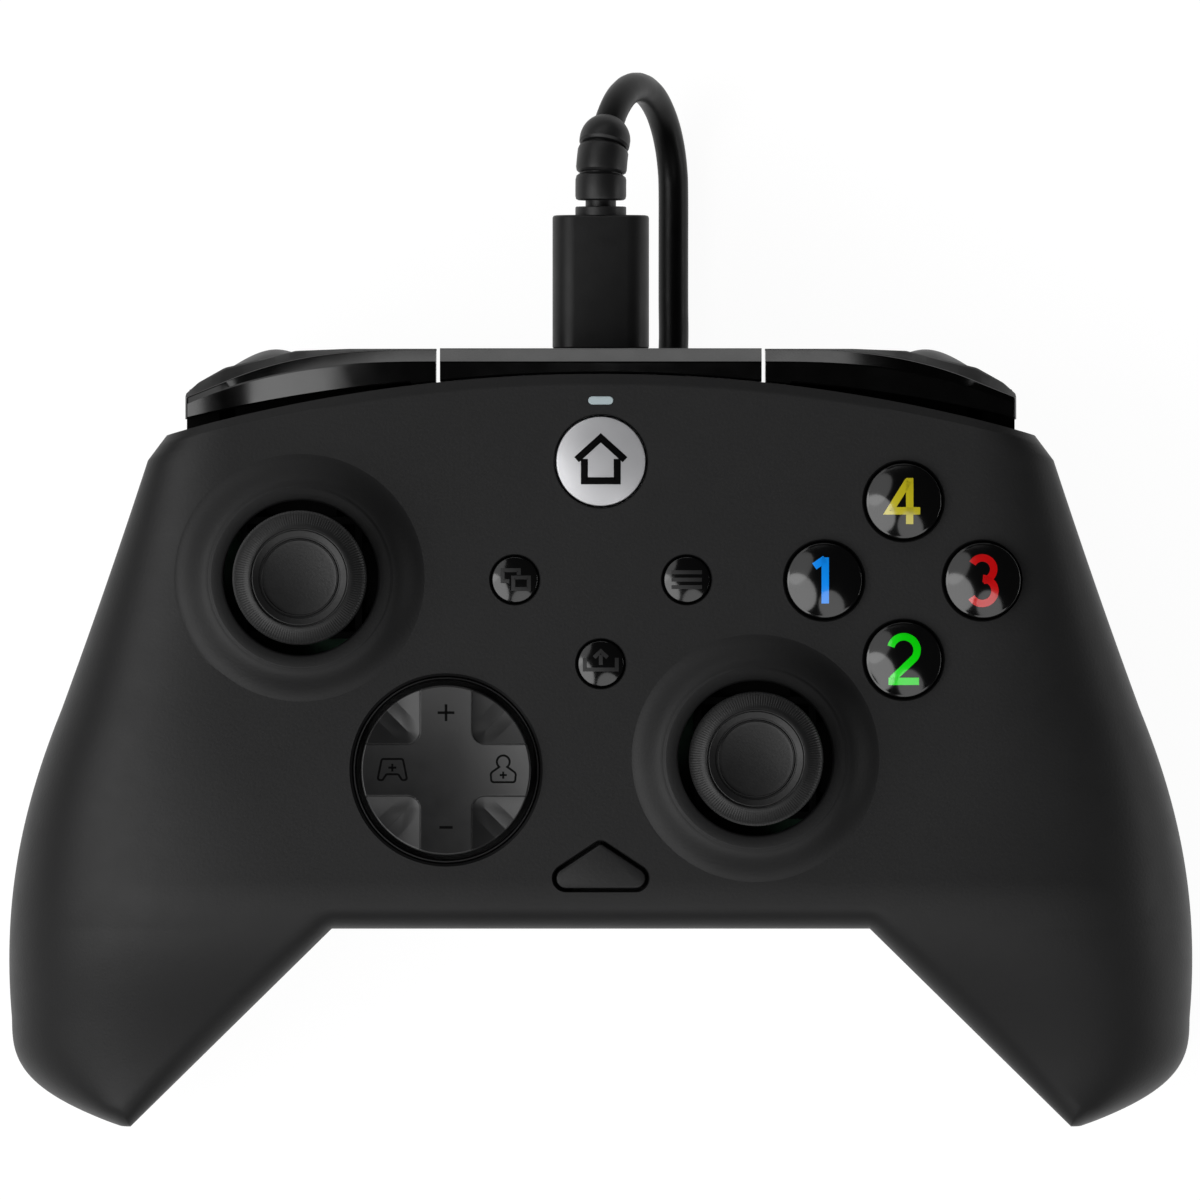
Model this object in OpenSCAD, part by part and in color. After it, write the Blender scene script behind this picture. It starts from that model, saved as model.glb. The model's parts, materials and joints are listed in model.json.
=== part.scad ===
// Wired gamepad: two moulded shells, tilting thumb sticks, a rocking direction
// disc, push buttons, hinged bumpers and triggers, and a detachable cable.
// Frame: +X right, +Y to the front edge with the cable, +Z up out of the face.
// The origin lies on the table under the middle of the housing.

/* [Housing] */
// Half of the greatest width across the grips
half_w = 76.5; // [75:0.5:79]
// Height of the flat face above the table
face_z = 50; // [49.6:0.2:51]
// Thickness of the moulded walls
wall = 2.2; // [1.8:0.1:2.4]
// Crest of the arched front edge of the face
front_y = 47; // [46.8:0.1:47.4]
// Radius of the arched front edge
front_arc = 202; // [190:2:220]
// Rear edge of the body between the grips
rear_y = -24.1; // [-25:0.1:-24]
// Rear end of the grips
tip_y = -49.8; // [-52:0.2:-49]
// Distance of the grip tips from the middle plane
tip_x = 60.6; // [59.6:0.2:62]
// Distance of the inner corners of the grips from the middle plane
fork_x = 34.5; // [33.5:0.5:35]
// Underside of the body between the grips
belly_z = 19; // [18.6:0.1:19.2]
// Drop of the face at the grip tips
grip_drop = 12; // [8:0.5:14]
// Open seam between the two shells
seam_gap = 0.2; // [0.1:0.05:0.4]

/* [Sticks] */
// Left stick, distance from the middle plane
stick_l_x = 38.4; // [37.6:0.2:39]
// Left stick, place along the body
stick_l_y = 20.9; // [20:0.2:21.6]
// Right stick, distance from the middle plane
stick_r_x = 19.8; // [19.2:0.2:20.4]
// Right stick, place along the body
stick_r_y = -2.2; // [-2.6:0.2:-1.6]
// Diameter of the thumb caps
cap_d = 17.2; // [16:0.2:17.6]
// Height of the crown of the thumb caps above the face
cap_rise = 10.5; // [10:0.1:10.8]
// Diameter of the opening in the collar round a stick
collar_bore = 19.8; // [19.6:0.1:20.2]
// Diameter of the collar's foot on the face
collar_d = 31.6; // [29:0.2:32]
// Rise of the collar above the face
collar_rise = 2; // [1.4:0.1:2]
// Height of the tilt axes under the face
pivot_drop = 6.7; // [6.5:0.1:6.9]
// Diameter of the stick post
post_d = 3.2; // [3:0.1:3.3]

/* [Buttons] */
// Diameter of the four face buttons
button_d = 9.63; // [9:0.05:10]
// Distance of the face buttons from the middle of their diamond
button_reach = 10.15; // [9.8:0.05:10.4]
// Middle of the face button diamond, distance from the middle plane
diamond_x = 38.75; // [38:0.05:39.2]
// Middle of the face button diamond, place along the body
diamond_y = 20.55; // [20:0.05:21]
// Rise of the face buttons above the face
button_rise = 2.4; // [2:0.1:3]
// Travel of the face buttons
button_travel = 1.5; // [1:0.1:1.6]
// Gap round every push button in its hole
button_gap = 0.35; // [0.3:0.05:0.5]
// Diameter of the home button
home_d = 11.4; // [10.8:0.2:12]
// Place of the home button along the body
home_y = 35.8; // [35.6:0.1:36]
// Diameter of the three small buttons
small_d = 5.85; // [5.4:0.05:6]
// Distance of the view and menu buttons from the middle plane
small_x = 11; // [10.6:0.1:11.4]
// Place of the view and menu buttons along the body
small_y = 20.65; // [20.2:0.05:21]
// Place of the share button along the body
share_y = 9.9; // [9.4:0.1:10.4]
// Travel of the small buttons
small_travel = 0.9; // [0.6:0.1:1]
// Place of the function button along the body
function_y = -16; // [-16.4:0.1:-15.6]
// Width of the function button
function_w = 11.4; // [10.6:0.2:12]
// Place of the status light along the body
light_y = 43.6; // [43.4:0.1:43.8]
// Length of the status light
light_w = 3.3; // [2.8:0.1:3.6]

/* [Direction disc] */
// Distance of the disc from the middle plane
disc_x = 19.8; // [19.4:0.1:20.2]
// Place of the disc along the body
disc_y = -3.7; // [-4:0.1:-3.4]
// Diameter of the disc
disc_d = 21.8; // [21:0.1:22.2]
// Gap round the disc in its well
disc_gap = 1.15; // [1:0.05:1.3]
// Width of the arms of the cross
arm_w = 6.5; // [6:0.1:7]

/* [Front controls] */
// Front face of the bridge and the bumpers
gloss_y = 50.3; // [50.1:0.1:50.6]
// Half of the bridge's width
bridge_half = 20.6; // [20.2:0.1:20.8]
// Slit between the bridge and a bumper
bridge_slit = 0.5; // [0.4:0.05:0.7]
// Outer end of a bumper from the middle plane
bumper_end = 53.3; // [52.6:0.1:53.6]
// Diameter of the hinge pins of bumpers and triggers
pin_d = 2; // [1.6:0.1:2.2]
// Running clearance on the hinge pins, on the radius
pin_fit = 0.06; // [0.04:0.01:0.09]
// Swing of a bumper, in degrees
bumper_swing = 2; // [1:0.5:2]

/* [Cable] */
// Diameter of the cable
cable_d = 3.9; // [3.8:0.05:4]
// Middle of the cable socket above the table
port_z = 27; // [26.8:0.1:27.2]
// Width of the plug's grip
plug_w = 12.5; // [11.5:0.1:13]
// Free end of the plug's grip
plug_y = 67.8; // [67.6:0.1:68]
// Diameter of the headset socket's bore
jack_d = 3.6; // [3.55:0.05:3.7]

/* [Hidden] */
$fn = 48;

// Colours as the photo shows them
matte_black = [0.13, 0.13, 0.14];
gloss_black = [0.05, 0.05, 0.06];
dark_grey = [0.2, 0.2, 0.21];
silver = [0.72, 0.72, 0.73];
steel = [0.6, 0.61, 0.63];
board_green = [0.08, 0.25, 0.16];
rubber_grey = [0.35, 0.35, 0.37];
cable_black = [0.06, 0.06, 0.06];

// Gap between pieces that move past each other
slack = 0.3;
// Depth of a cut that passes right through
through = 1;

function mix(a, b, t) = a + (b - a) * t;
function ease(t) = let (c = max(0, min(1, t))) c * c * (3 - 2 * c);
function root_curve(s, n) = pow(max(0, 1 - pow(s, n)), 1 / n);

// Grid of the shells: rows from the front edge to the grip tips, columns from
// the middle plane out to the side
rows_body = 10;
rows_grip = 7;
rows = rows_body + rows_grip;
cols_mid = 5;
cols_side = 7;
cols = cols_mid + cols_side;

// Outline seen from above
shoulder_y = 5.2;
shoulder_slope = 0.364;
widest_y = -29.3;
bulge_rate = 0.00588;
turn_y = -36;
tip_width = 2;
corner_y = 38.9;
corner_cut = 1.5;
first_row = 0.04;
flat_half = 47;
flat_blend = 28;
roll_power = 2.6;
skirt = 2.5;
seam_line = [[-50, 17], [-40, 20], [-24, 25], [0, 31], [20, 36], [38, 41], [47, 42]];
seam_rise = 8;
grip_line = [
    [-50, 8], [-46, 2], [-43, 0], [-38, 0], [-34, 2], [-24, 9], [-10, 15], [5, 18.5], [30, 21], [47, 22]
];
drop_start = -18;
drop_run = 32;

function bulge_w(y) = half_w - bulge_rate * pow(y - widest_y, 2);
function side_w(y) =
    y > shoulder_y ? bulge_w(shoulder_y) - shoulder_slope * (y - shoulder_y)
    : y > turn_y ? bulge_w(y)
    : mix(bulge_w(turn_y), tip_x + tip_width, pow((turn_y - y) / (turn_y - tip_y), 3));
function front_edge(x) = front_y - front_arc + sqrt(front_arc * front_arc - x * x);
function face_top(y) = face_z - grip_drop * ease((drop_start - y) / drop_run);

// Nominal place of a row along the side, with the wall taken off at both ends
function row_part(j) = j == 0 ? 0 : mix(first_row, 1, (j - 1) / (rows_body - 1));
function row_y(j, w) =
    j <= rows_body ? mix(corner_y - w, rear_y + w, row_part(j))
    : mix(rear_y + w, tip_y + w, (j - rows_body) / rows_grip);

// Column that starts the rounded side: the inner edge of the grip, then a line
// that swings out to the flat of the face
function fork_edge(y, w) = fork_x + (rear_y - y) * (tip_x - fork_x) / (rear_y - tip_y) + w * sqrt(2);
function guide_x(y, w) =
    y <= rear_y + w ? fork_edge(y, w)
    : mix(fork_edge(rear_y + w, w), flat_half, ease((y - rear_y - w) / flat_blend));
function outer_x(j, w) =
    side_w(row_y(j, w)) - w - (j == 0 ? corner_cut : 0);

// Share of the way from the guide column to the side, for column i
function side_part(i) = max(0, (abs(i) - cols_mid) / cols_side);
function grid_x(j, i, w) =
    let (g = guide_x(row_y(j, w), w))
    sign(i) * (abs(i) <= cols_mid ? g * abs(i) / cols_mid
        : mix(g, outer_x(j, w), pow(sin(90 * side_part(i)), 2 / roll_power)));
function grid_y(j, i, w) =
    j >= rows_body ? row_y(j, w)
    : row_y(j, w) + (front_edge(grid_x(j, i, w)) - corner_y) * pow(1 - row_part(j), 1.5);
function seam_z(j, i) =
    let (y = row_y(j, 0))
    lookup(y, seam_line) + (1 - side_part(i)) * seam_rise * ease((20 - y) / 44)
        * (1 - 0.75 * ease((rear_y - y) / (rear_y - tip_y)));

// Point of the face, rolled over to the side, with the wall w taken off
function top_point(j, i, w) =
    let (base = seam_z(j, i) + skirt, top = face_top(row_y(j, w)) - w)
    [grid_x(j, i, w), grid_y(j, i, w), mix(base, top, pow(max(0, cos(90 * side_part(i))), 2 / roll_power))];

// Point of the underside: flat belly, swelling grips, rolled up to the side
function low_point(j, i, w) =
    let (
        y = row_y(j, w),
        s = pow(sin(90 * side_part(i)), 2 / roll_power),
        base = seam_z(j, i) - skirt,
        inner = belly_z - 6 * ease((rear_y - y) / (rear_y - tip_y)),
        low = mix(inner, lookup(y, grip_line), ease(s / 0.4)) + w
    )
    [grid_x(j, i, w), grid_y(j, i, w), base - (base - low) * root_curve(s, 4)];

// Heights of the two outer skins at a place on the rounded side
function side_share(x, y) = max(0, (x - guide_x(y, 0)) / (side_w(y) - guide_x(y, 0)));
function skin_top(x, y) =
    mix(lookup(y, seam_line) + skirt, face_top(y), root_curve(side_share(x, y), roll_power));
function skin_low(x, y) =
    let (
        s = side_share(x, y),
        base = lookup(y, seam_line) - skirt,
        low = mix(belly_z, lookup(y, grip_line), ease(s / 0.4))
    )
    base - (base - low) * root_curve(s, 4);

// Closed loop of grid places round the edge, clockwise seen from above
edge_loop = concat(
    [for (i = [-cols : cols]) [0, i]],
    [for (j = [1 : rows]) [j, cols]],
    [for (i = [cols - 1 : -1 : cols_mid]) [rows, i]],
    [for (j = [rows - 1 : -1 : rows_body]) [j, cols_mid]],
    [for (i = [cols_mid - 1 : -1 : -cols_mid]) [rows_body, i]],
    [for (j = [rows_body + 1 : rows]) [j, -cols_mid]],
    [for (i = [-cols_mid - 1 : -1 : -cols]) [rows, i]],
    [for (j = [rows - 1 : -1 : 1]) [j, -cols]]
);
edge_count = len(edge_loop);
grid_count = (rows + 1) * (2 * cols + 1);
function grid_id(j, i) = j * (2 * cols + 1) + i + cols;
function in_grid(j, i) = j < rows_body || i >= cols_mid || i < -cols_mid;

// Two triangles of a grid cell, clockwise seen from above
function cell_faces(j, i, base) =
    let (
        a = base + grid_id(j, i),
        b = base + grid_id(j, i + 1),
        c = base + grid_id(j + 1, i + 1),
        d = base + grid_id(j + 1, i)
    )
    i >= 0 ? [[a, b, c], [a, c, d]] : [[a, b, d], [b, c, d]];
function grid_faces(base) =
    [for (j = [0 : rows - 1]) for (i = [-cols : cols - 1]) if (in_grid(j, i))
        for (f = cell_faces(j, i, base)) f];
function turned(faces) = [for (f = faces) [f[0], f[2], f[1]]];
function quad(a, b, c, d) = [[a, b, c], [a, c, d]];

// A moulded shell: outer skin, inner skin, and a rim along the seam
function shell_faces() =
    concat(
        grid_faces(0),
        turned(grid_faces(grid_count)),
        [for (k = [0 : edge_count - 1])
            let (
                n = (k + 1) % edge_count,
                p = grid_id(edge_loop[k][0], edge_loop[k][1]),
                q = grid_id(edge_loop[n][0], edge_loop[n][1]),
                rim = 2 * grid_count,
                lip = rim + edge_count
            )
            for (f = concat(
                quad(q, p, rim + k, rim + n),
                quad(lip + k, lip + n, rim + n, rim + k),
                quad(grid_count + p, grid_count + q, lip + n, lip + k))) f]
    );
function rim_point(place, w, shift) =
    [grid_x(place[0], place[1], w), grid_y(place[0], place[1], w), seam_z(place[0], place[1]) + shift];
function shell_rim(shift) =
    concat([for (p = edge_loop) rim_point(p, 0, shift)], [for (p = edge_loop) rim_point(p, wall, shift)]);

module face_skin() {
    polyhedron(
        concat(
            [for (j = [0 : rows]) for (i = [-cols : cols]) top_point(j, i, 0)],
            [for (j = [0 : rows]) for (i = [-cols : cols]) top_point(j, i, wall)],
            shell_rim(seam_gap / 2)),
        shell_faces());
}

module back_skin() {
    polyhedron(
        concat(
            [for (j = [0 : rows]) for (i = [-cols : cols]) low_point(j, i, 0)],
            [for (j = [0 : rows]) for (i = [-cols : cols]) low_point(j, i, wall)],
            shell_rim(-seam_gap / 2)),
        turned(shell_faces()));
}

// Heights inside the housing
inner_top = face_z - wall;
board_top = 37;
board_t = 1.6;
board_half = 49;
board_rear = -20;
pivot_z = face_z - pivot_drop;
floor_z = belly_z + wall;

// Places of the controls on the face, each with its sign across the body
left_stick = [-stick_l_x, stick_l_y];
right_stick = [stick_r_x, stick_r_y];
disc_at = [-disc_x, disc_y];
button_spots = [
    [diamond_x, diamond_y + button_reach], [diamond_x - button_reach, diamond_y],
    [diamond_x + button_reach, diamond_y], [diamond_x, diamond_y - button_reach]
];
small_spots = [[-small_x, small_y], [small_x, small_y], [0, share_y]];
home_spot = [0, home_y];

module at(spot, z) {
    translate([spot[0], spot[1], z])
        children();
}

module both_sides() {
    children();
    mirror([1, 0, 0])
        children();
}

// Housing screws: bosses in the face meet posts from the back
screw_spots = [[half_w - 14.5, -33], [board_half + 5.5, 3]];
screw_d = 2.6;
screw_head_d = 4.8;
screw_post_r = 3.6;
post_sink = 0.6;
screw_split = [22, 27];
screw_seat = [10, 21.4];
screw_top = [30, 38];
head_h = 1.6;

// Trigger bays in the back shell and the rest under the middle of the front edge
bay_in = 23.5;
bay_out = 53.7;
bay_y = 30;
rest_half = 20;
rest_back = 37.5;
rest_front = front_y - 1.4;
rest_round = 2.5;
arch_r = 13.5;
arch_z = -1.5;

// Port for the cable
port_w = 9.6;
port_h = 3.8;

// Function button, a bare pentagon with its point to the front
function_h = function_w * 0.5;
function pentagon(w, h, grow) =
    [[-w / 2 - grow, -h / 2 - grow], [w / 2 + grow, -h / 2 - grow], [w / 2 + grow, h * 0.12 + grow * 0.6],
     [0, h / 2 + grow * 1.1], [-w / 2 - grow, h * 0.12 + grow * 0.6]];

module pill(length, width, h) {
    linear_extrude(h)
        union() {
            square([length - width, width], center = true);
            for (s = [-1, 1])
                translate([s * (length - width) / 2, 0])
                    circle(d = width);
        }
}

// Soft collar round a stick: a convex ring with a crisp inner lip
module collar() {
    foot = collar_d / 2;
    lip = collar_bore / 2 + 1.7;
    arc = [for (k = [0 : 8]) let (u = k / 8) [mix(foot, lip, u), collar_rise * sin(90 * u)]];
    rotate_extrude()
        polygon(concat(
            [[collar_bore / 2 - through, -wall * 0.75], [foot, -wall * 0.75]],
            arc,
            [[collar_bore / 2 - through, collar_rise]]));
}

module face_openings() {
    low = face_z - 3 * wall;
    tall = 5 * wall;
    for (s = [left_stick, right_stick])
        at(s, low)
            cylinder(d = collar_bore, h = tall);
    at(disc_at, low)
        cylinder(d = disc_d + 2 * disc_gap, h = tall);
    for (s = button_spots)
        at(s, low)
            cylinder(d = button_d + 2 * button_gap, h = tall);
    for (s = small_spots)
        at(s, low)
            cylinder(d = small_d + 2 * button_gap, h = tall);
    at(home_spot, low)
        cylinder(d = home_d + 2 * button_gap, h = tall);
    translate([0, function_y, low])
        linear_extrude(tall)
            polygon(pentagon(function_w, function_h, button_gap));
    translate([0, light_y, low])
        pill(light_w, light_t, tall);
}
light_t = 1.15;

module front_shell() {
    color(matte_black)
        difference() {
            union() {
                face_skin();
                for (s = [left_stick, right_stick])
                    at(s, face_z)
                        collar();
                both_sides()
                    for (k = [0, 1])
                        let (spot = screw_spots[k])
                        let (top = skin_top(spot[0] + screw_post_r, spot[1]) - post_sink)
                            at(spot, screw_split[k])
                                cylinder(r = screw_post_r, h = top - screw_split[k]);
            }
            face_openings();
            both_sides()
                for (k = [0, 1])
                    at(screw_spots[k], screw_split[k] - through)
                        cylinder(d = screw_d, h = screw_top[k] - screw_split[k] + through + slack);
        }
}

// Block that the housing rests on, with an arch that lets the cable through
module front_rest() {
    difference() {
        translate([-rest_half, 0, 0])
            rotate([90, 0, 90])
                linear_extrude(2 * rest_half)
                    polygon([
                        [rest_back, floor_z - through], [rest_back, rest_round], [rest_back + rest_round, 0],
                        [rest_front - rest_round, 0], [rest_front, rest_round],
                        [rest_front, floor_z - through]
                    ]);
        translate([0, front_y + through, arch_z])
            rotate([90, 0, 0])
                cylinder(r = arch_r, h = front_y);
    }
}

module back_shell() {
    color(matte_black)
        difference() {
            union() {
                back_skin();
                front_rest();
                back_posts();
                both_sides()
                    for (k = [0, 1])
                        let (spot = screw_spots[k], foot = skin_low(spot[0], spot[1]) + wall * 0.7)
                            at(spot, foot)
                                cylinder(r = screw_post_r, h = screw_split[k] - seam_gap - foot);
            }
            both_sides()
                union() {
                    translate([bay_in, bay_y, -through])
                        cube([bay_out - bay_in, front_y, face_z]);
                    translate([bay_out - through, bay_y, trigger_at[1] - boss_r - slack])
                        cube([ear_out + ear_out_t + slack - bay_out + through,
                            trigger_at[0] + boss_r + slack - bay_y, 2 * (boss_r + slack)]);
                }
            translate([0, front_y + through, port_z])
                rotate([90, 0, 0])
                    pill(port_w, port_h, 3 * wall);
            translate([0, rear_y - through, jack_z])
                rotate([-90, 0, 0])
                    cylinder(d = jack_shell_d + 2 * slack, h = 3 * wall);
            both_sides()
                for (k = [0, 1]) {
                    at(screw_spots[k], screw_seat[k])
                        cylinder(d = screw_d + 2 * slack, h = face_z);
                    at(screw_spots[k], -through)
                        cylinder(d = screw_head_d + 2 * slack, h = screw_seat[k] + through);
                }
        }
}
jack_z = 29.5;
jack_shell_d = 5.6;

// Trigger hinge and profile
trigger_at = [35, 31];
trigger_in = 26.8;
trigger_out = 53.2;
trigger_arc = [30.5, 25];
trigger_r = gloss_y + 0.2 - trigger_arc[0];
trigger_t = 3.6;
trigger_top = 30;
trigger_tip = -50;
trigger_hook = 8;
trigger_mid = 42;
trigger_crown = 5.5;
trigger_span = 13;
trigger_steps = 12;
trigger_slices = 12;
boss_r = 2.6;
ear_in = 24.2;
ear_t = 2.2;
ear_out = 53.6;
ear_out_t = 1.4;

// Bumper hinge
bumper_at = [26.2, 40.5];
finger_x = 48;
finger_w = 2;
finger_gap = 0.6;
lug_z = 36;
lug_t = 2;
lug_r = 2.6;
arm_z = lug_z + lug_t + slack;
arm_t = lookup(corner_y, seam_line) - slack - arm_z;
blade_top = face_z - 0.4;
blade_z = arm_z + 2;

// Mid frame
beam_y = 29.6;
beam_t = 2.4;
beam_z = 26;
beam_top = 34;
foot_x = 16;

// Main board
board_edge = 36;
board_tongue = [12, 41.5];
board_posts = [[40, -10], [19, 25.5]];
board_post_r = 2.8;
board_screw_d = 2;

// Cable board and socket
usb_board_z = 23.4;
usb_board_half = 10;
usb_board_y = [27, 43];
socket_w = 9.3;
socket_h = 3.5;
socket_wall = 0.4;
socket_y = [38, 48.6];

// Rumble motors
motor_at = [half_w - 16.5, 25.6];
motor_r = 6;
motor_y = [-20, -6];
shaft_r = 0.75;
shaft_end = -27;
cradle_y = [-16, -10];
cradle_half = 4;
cradle_low = 5;
cradle_t = 7.5;

// Profile in the plane of Y and Z, given a thickness along X
module side_plate(x, t) {
    translate([x, 0, 0])
        rotate([90, 0, 90])
            linear_extrude(t)
                children();
}

module bar_x(spot, r, from, to) {
    translate([from, spot[0], spot[1]])
        rotate([0, 90, 0])
            cylinder(r = r, h = to - from);
}

module trigger_ear() {
    union() {
        translate(trigger_at)
            circle(r = boss_r);
        translate([beam_y + beam_t - 0.2, trigger_at[1] - boss_r])
            square([trigger_at[0] - beam_y - beam_t + 0.2, 2 * boss_r]);
    }
}

module frame_side() {
    difference() {
        union() {
            translate([foot_x - 2, beam_y, beam_z])
                cube([ear_out + ear_out_t - foot_x + 2, beam_t, beam_top - beam_z]);
            translate([foot_x - 2, beam_y, floor_z])
                cube([4, beam_t, beam_z - floor_z + 0.2]);
            side_plate(ear_in, ear_t)
                union() {
                    trigger_ear();
                    polygon([
                        [board_edge + slack, trigger_at[1]], [bumper_at[1], lug_z - 0.2],
                        [bumper_at[1], lug_z + lug_t], [board_edge + slack, lug_z + lug_t]
                    ]);
                }
            side_plate(ear_out, ear_out_t)
                trigger_ear();
            at(bumper_at, lug_z)
                cylinder(r = lug_r, h = lug_t);
        }
        bar_x(trigger_at, pin_d / 2 + pin_fit, ear_in - through, ear_out + ear_out_t + through);
        at(bumper_at, lug_z - through)
            cylinder(d = pin_d + 2 * pin_fit, h = lug_t + 2 * through);
    }
}

module mid_frame() {
    color(dark_grey)
        union() {
            both_sides()
                frame_side();
            translate([-foot_x, beam_y, beam_z])
                cube([2 * foot_x, beam_t, beam_top - beam_z]);
        }
}

// Outline between the arched face and the gloss front, from x0 to x1
bumper_front = [[32.3, 50.3], [39.2, 50.05], [48.3, 47.9], [51.7, 46]];
function blade_rear(x) = front_edge(x) + 0.45 + (x - bumper_at[0]) * tan(bumper_swing);
function blade_line(inset) =
    let (x0 = bridge_half + bridge_slit, x1 = bumper_end, shift = gloss_y - bumper_front[0][1] - inset)
    concat(
        [[x0, gloss_y - inset]],
        [for (p = bumper_front) [p[0] - inset * 0.3, p[1] + shift]],
        [[x1, bumper_front[3][1] + shift - (x1 - bumper_front[3][0]) * 0.9]],
        [for (k = [0 : 6]) let (x = mix(x1, x0, k / 6)) [x, blade_rear(x)]]);

// Flange of the bumper, which closes the gap behind it under the edge of the face
flange_x = [bay_in + 0.7, bumper_end - 0.8];
flange_reach = 2.2;
function flange_line() =
    concat(
        [for (k = [0 : 6]) let (x = mix(flange_x[0], flange_x[1], k / 6)) [x, front_edge(x) - flange_reach]],
        [for (k = [6 : -1 : 0]) let (x = mix(flange_x[0], flange_x[1], k / 6)) [x, blade_rear(x) + 1]]);

module bumper() {
    crown = 1.2;
    difference() {
        union() {
            translate([0, 0, blade_z])
                linear_extrude(blade_top - crown - blade_z)
                    polygon(blade_line(0));
            translate([0, 0, blade_top - crown - 0.1])
                linear_extrude(crown + 0.1)
                    polygon(blade_line(1.2));
            at(bumper_at, arm_z)
                cylinder(r = lug_r, h = arm_t);
            translate([0, 0, arm_z])
                linear_extrude(arm_t)
                    polygon([
                        [bumper_at[0] - lug_r, bumper_at[1]], [bumper_at[0] + lug_r, bumper_at[1]],
                        [bumper_at[0] + lug_r, gloss_y - 3], [bumper_at[0] - lug_r + 0.4, gloss_y - 3]
                    ]);
            translate([0, 0, arm_z])
                linear_extrude(arm_t)
                    polygon(flange_line());
            translate([finger_x - finger_w / 2, board_edge + finger_gap, arm_z])
                cube([finger_w, blade_rear(finger_x) + 1 - board_edge - finger_gap, arm_t]);
        }
        at(bumper_at, arm_z - through)
            cylinder(d = pin_d + 2 * pin_fit, h = arm_t + 2 * through);
    }
}

module left_bumper() {
    color(gloss_black)
        mirror([1, 0, 0])
            bumper();
}

module right_bumper() {
    color(gloss_black)
        bumper();
}

module bumper_pins() {
    color(steel)
        both_sides()
            at(bumper_at, lug_z)
                cylinder(d = pin_d, h = arm_z + arm_t - lug_z);
}

switch_size = [4, 3, arm_z + arm_t - board_top];
switch_gap = 0.5;
module bumper_switches() {
    color(dark_grey)
        both_sides()
            translate([finger_x - switch_size[0] / 2, board_edge - switch_gap - switch_size[1], board_top])
                cube(switch_size);
}

function trigger_arc_point(r, a) = trigger_arc + r * [cos(a), sin(a)];
// Rungs of the trigger's side profile, front point and rear point, from the tip
// up to the hub; the second pair of numbers says which points follow the crown
trigger_rungs = concat(
    [for (k = [0 : trigger_steps])
        let (a = mix(trigger_tip, trigger_hook, k / trigger_steps))
        [trigger_arc_point(trigger_r, a), trigger_arc_point(trigger_r - trigger_t, a), 1, 1]],
    [
        [trigger_arc_point(trigger_r, mix(trigger_hook, trigger_top, 0.5)), trigger_at + [3, -boss_r], 1, 0],
        [trigger_arc_point(trigger_r, trigger_top), trigger_at + [2.2, 0], 1, 0],
        [trigger_at + [6, boss_r + 1], trigger_at + [1.5, boss_r], 0, 0]
    ]);
function trigger_drop(x) = trigger_crown * ease(abs(x - trigger_mid) / trigger_span);
function trigger_slice(x) =
    let (d = trigger_drop(x), n = len(trigger_rungs) - 1)
    concat(
        [for (k = [0 : n]) let (r = trigger_rungs[k]) [x, r[0][0] - d * r[2], r[0][1]]],
        [for (k = [n : -1 : 0]) let (r = trigger_rungs[k]) [x, r[1][0] - d * r[3], r[1][1]]]);

// Blade of the trigger, its profile swept across and moved back towards the ends
module trigger_blade() {
    rungs = len(trigger_rungs);
    n = 2 * rungs;
    far = trigger_slices * n;
    polyhedron(
        [for (i = [0 : trigger_slices])
            for (p = trigger_slice(mix(trigger_in, trigger_out, i / trigger_slices))) p],
        concat(
            [for (i = [0 : trigger_slices - 1]) for (m = [0 : n - 1])
                for (f = quad(i * n + m, (i + 1) * n + m, (i + 1) * n + (m + 1) % n, i * n + (m + 1) % n)) f],
            [for (k = [0 : rungs - 2]) for (f = quad(k, k + 1, n - 2 - k, n - 1 - k)) f],
            [for (k = [0 : rungs - 2])
                for (f = quad(far + k, far + n - 1 - k, far + n - 2 - k, far + k + 1)) f]));
}

module trigger() {
    difference() {
        union() {
            trigger_blade();
            bar_x(trigger_at, boss_r, trigger_in, trigger_out);
        }
        bar_x(trigger_at, pin_d / 2 + pin_fit, trigger_in - through, trigger_out + through);
        bar_x(trigger_at, spring_r + slack, spring_in - slack, spring_in + spring_l + slack);
    }
}
spring_in = 37;
spring_r = 2.2;
spring_l = 6;

module left_trigger() {
    color(gloss_black)
        mirror([1, 0, 0])
            trigger();
}

module right_trigger() {
    color(gloss_black)
        trigger();
}

module trigger_pins() {
    color(steel)
        both_sides()
            bar_x(trigger_at, pin_d / 2, ear_in, ear_out + ear_out_t);
}

module trigger_springs() {
    color(steel)
        both_sides()
            difference() {
                bar_x(trigger_at, spring_r, spring_in, spring_in + spring_l);
                bar_x(trigger_at, pin_d / 2 + 0.1, spring_in - through, spring_in + spring_l + through);
            }
}

module front_bridge() {
    bridge_z = floor_z;
    crown = 1.8;
    rear = [for (k = [0 : 8]) let (x = mix(bridge_half, -bridge_half, k / 8)) [x, front_edge(x) + 0.1]];
    color(gloss_black)
        difference() {
            union() {
                translate([0, 0, bridge_z])
                    linear_extrude(blade_top - crown - bridge_z)
                        polygon(concat([[-bridge_half, gloss_y], [bridge_half, gloss_y]], rear));
                translate([0, 0, blade_top - crown - 0.1])
                    linear_extrude(crown + 0.1)
                        polygon(concat([[-bridge_half, gloss_y - 1.6], [bridge_half, gloss_y - 1.6]], rear));
            }
            translate([0, gloss_y + through, port_z])
                rotate([90, 0, 0])
                    pill(port_w, port_h, 8);
        }
}

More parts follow.
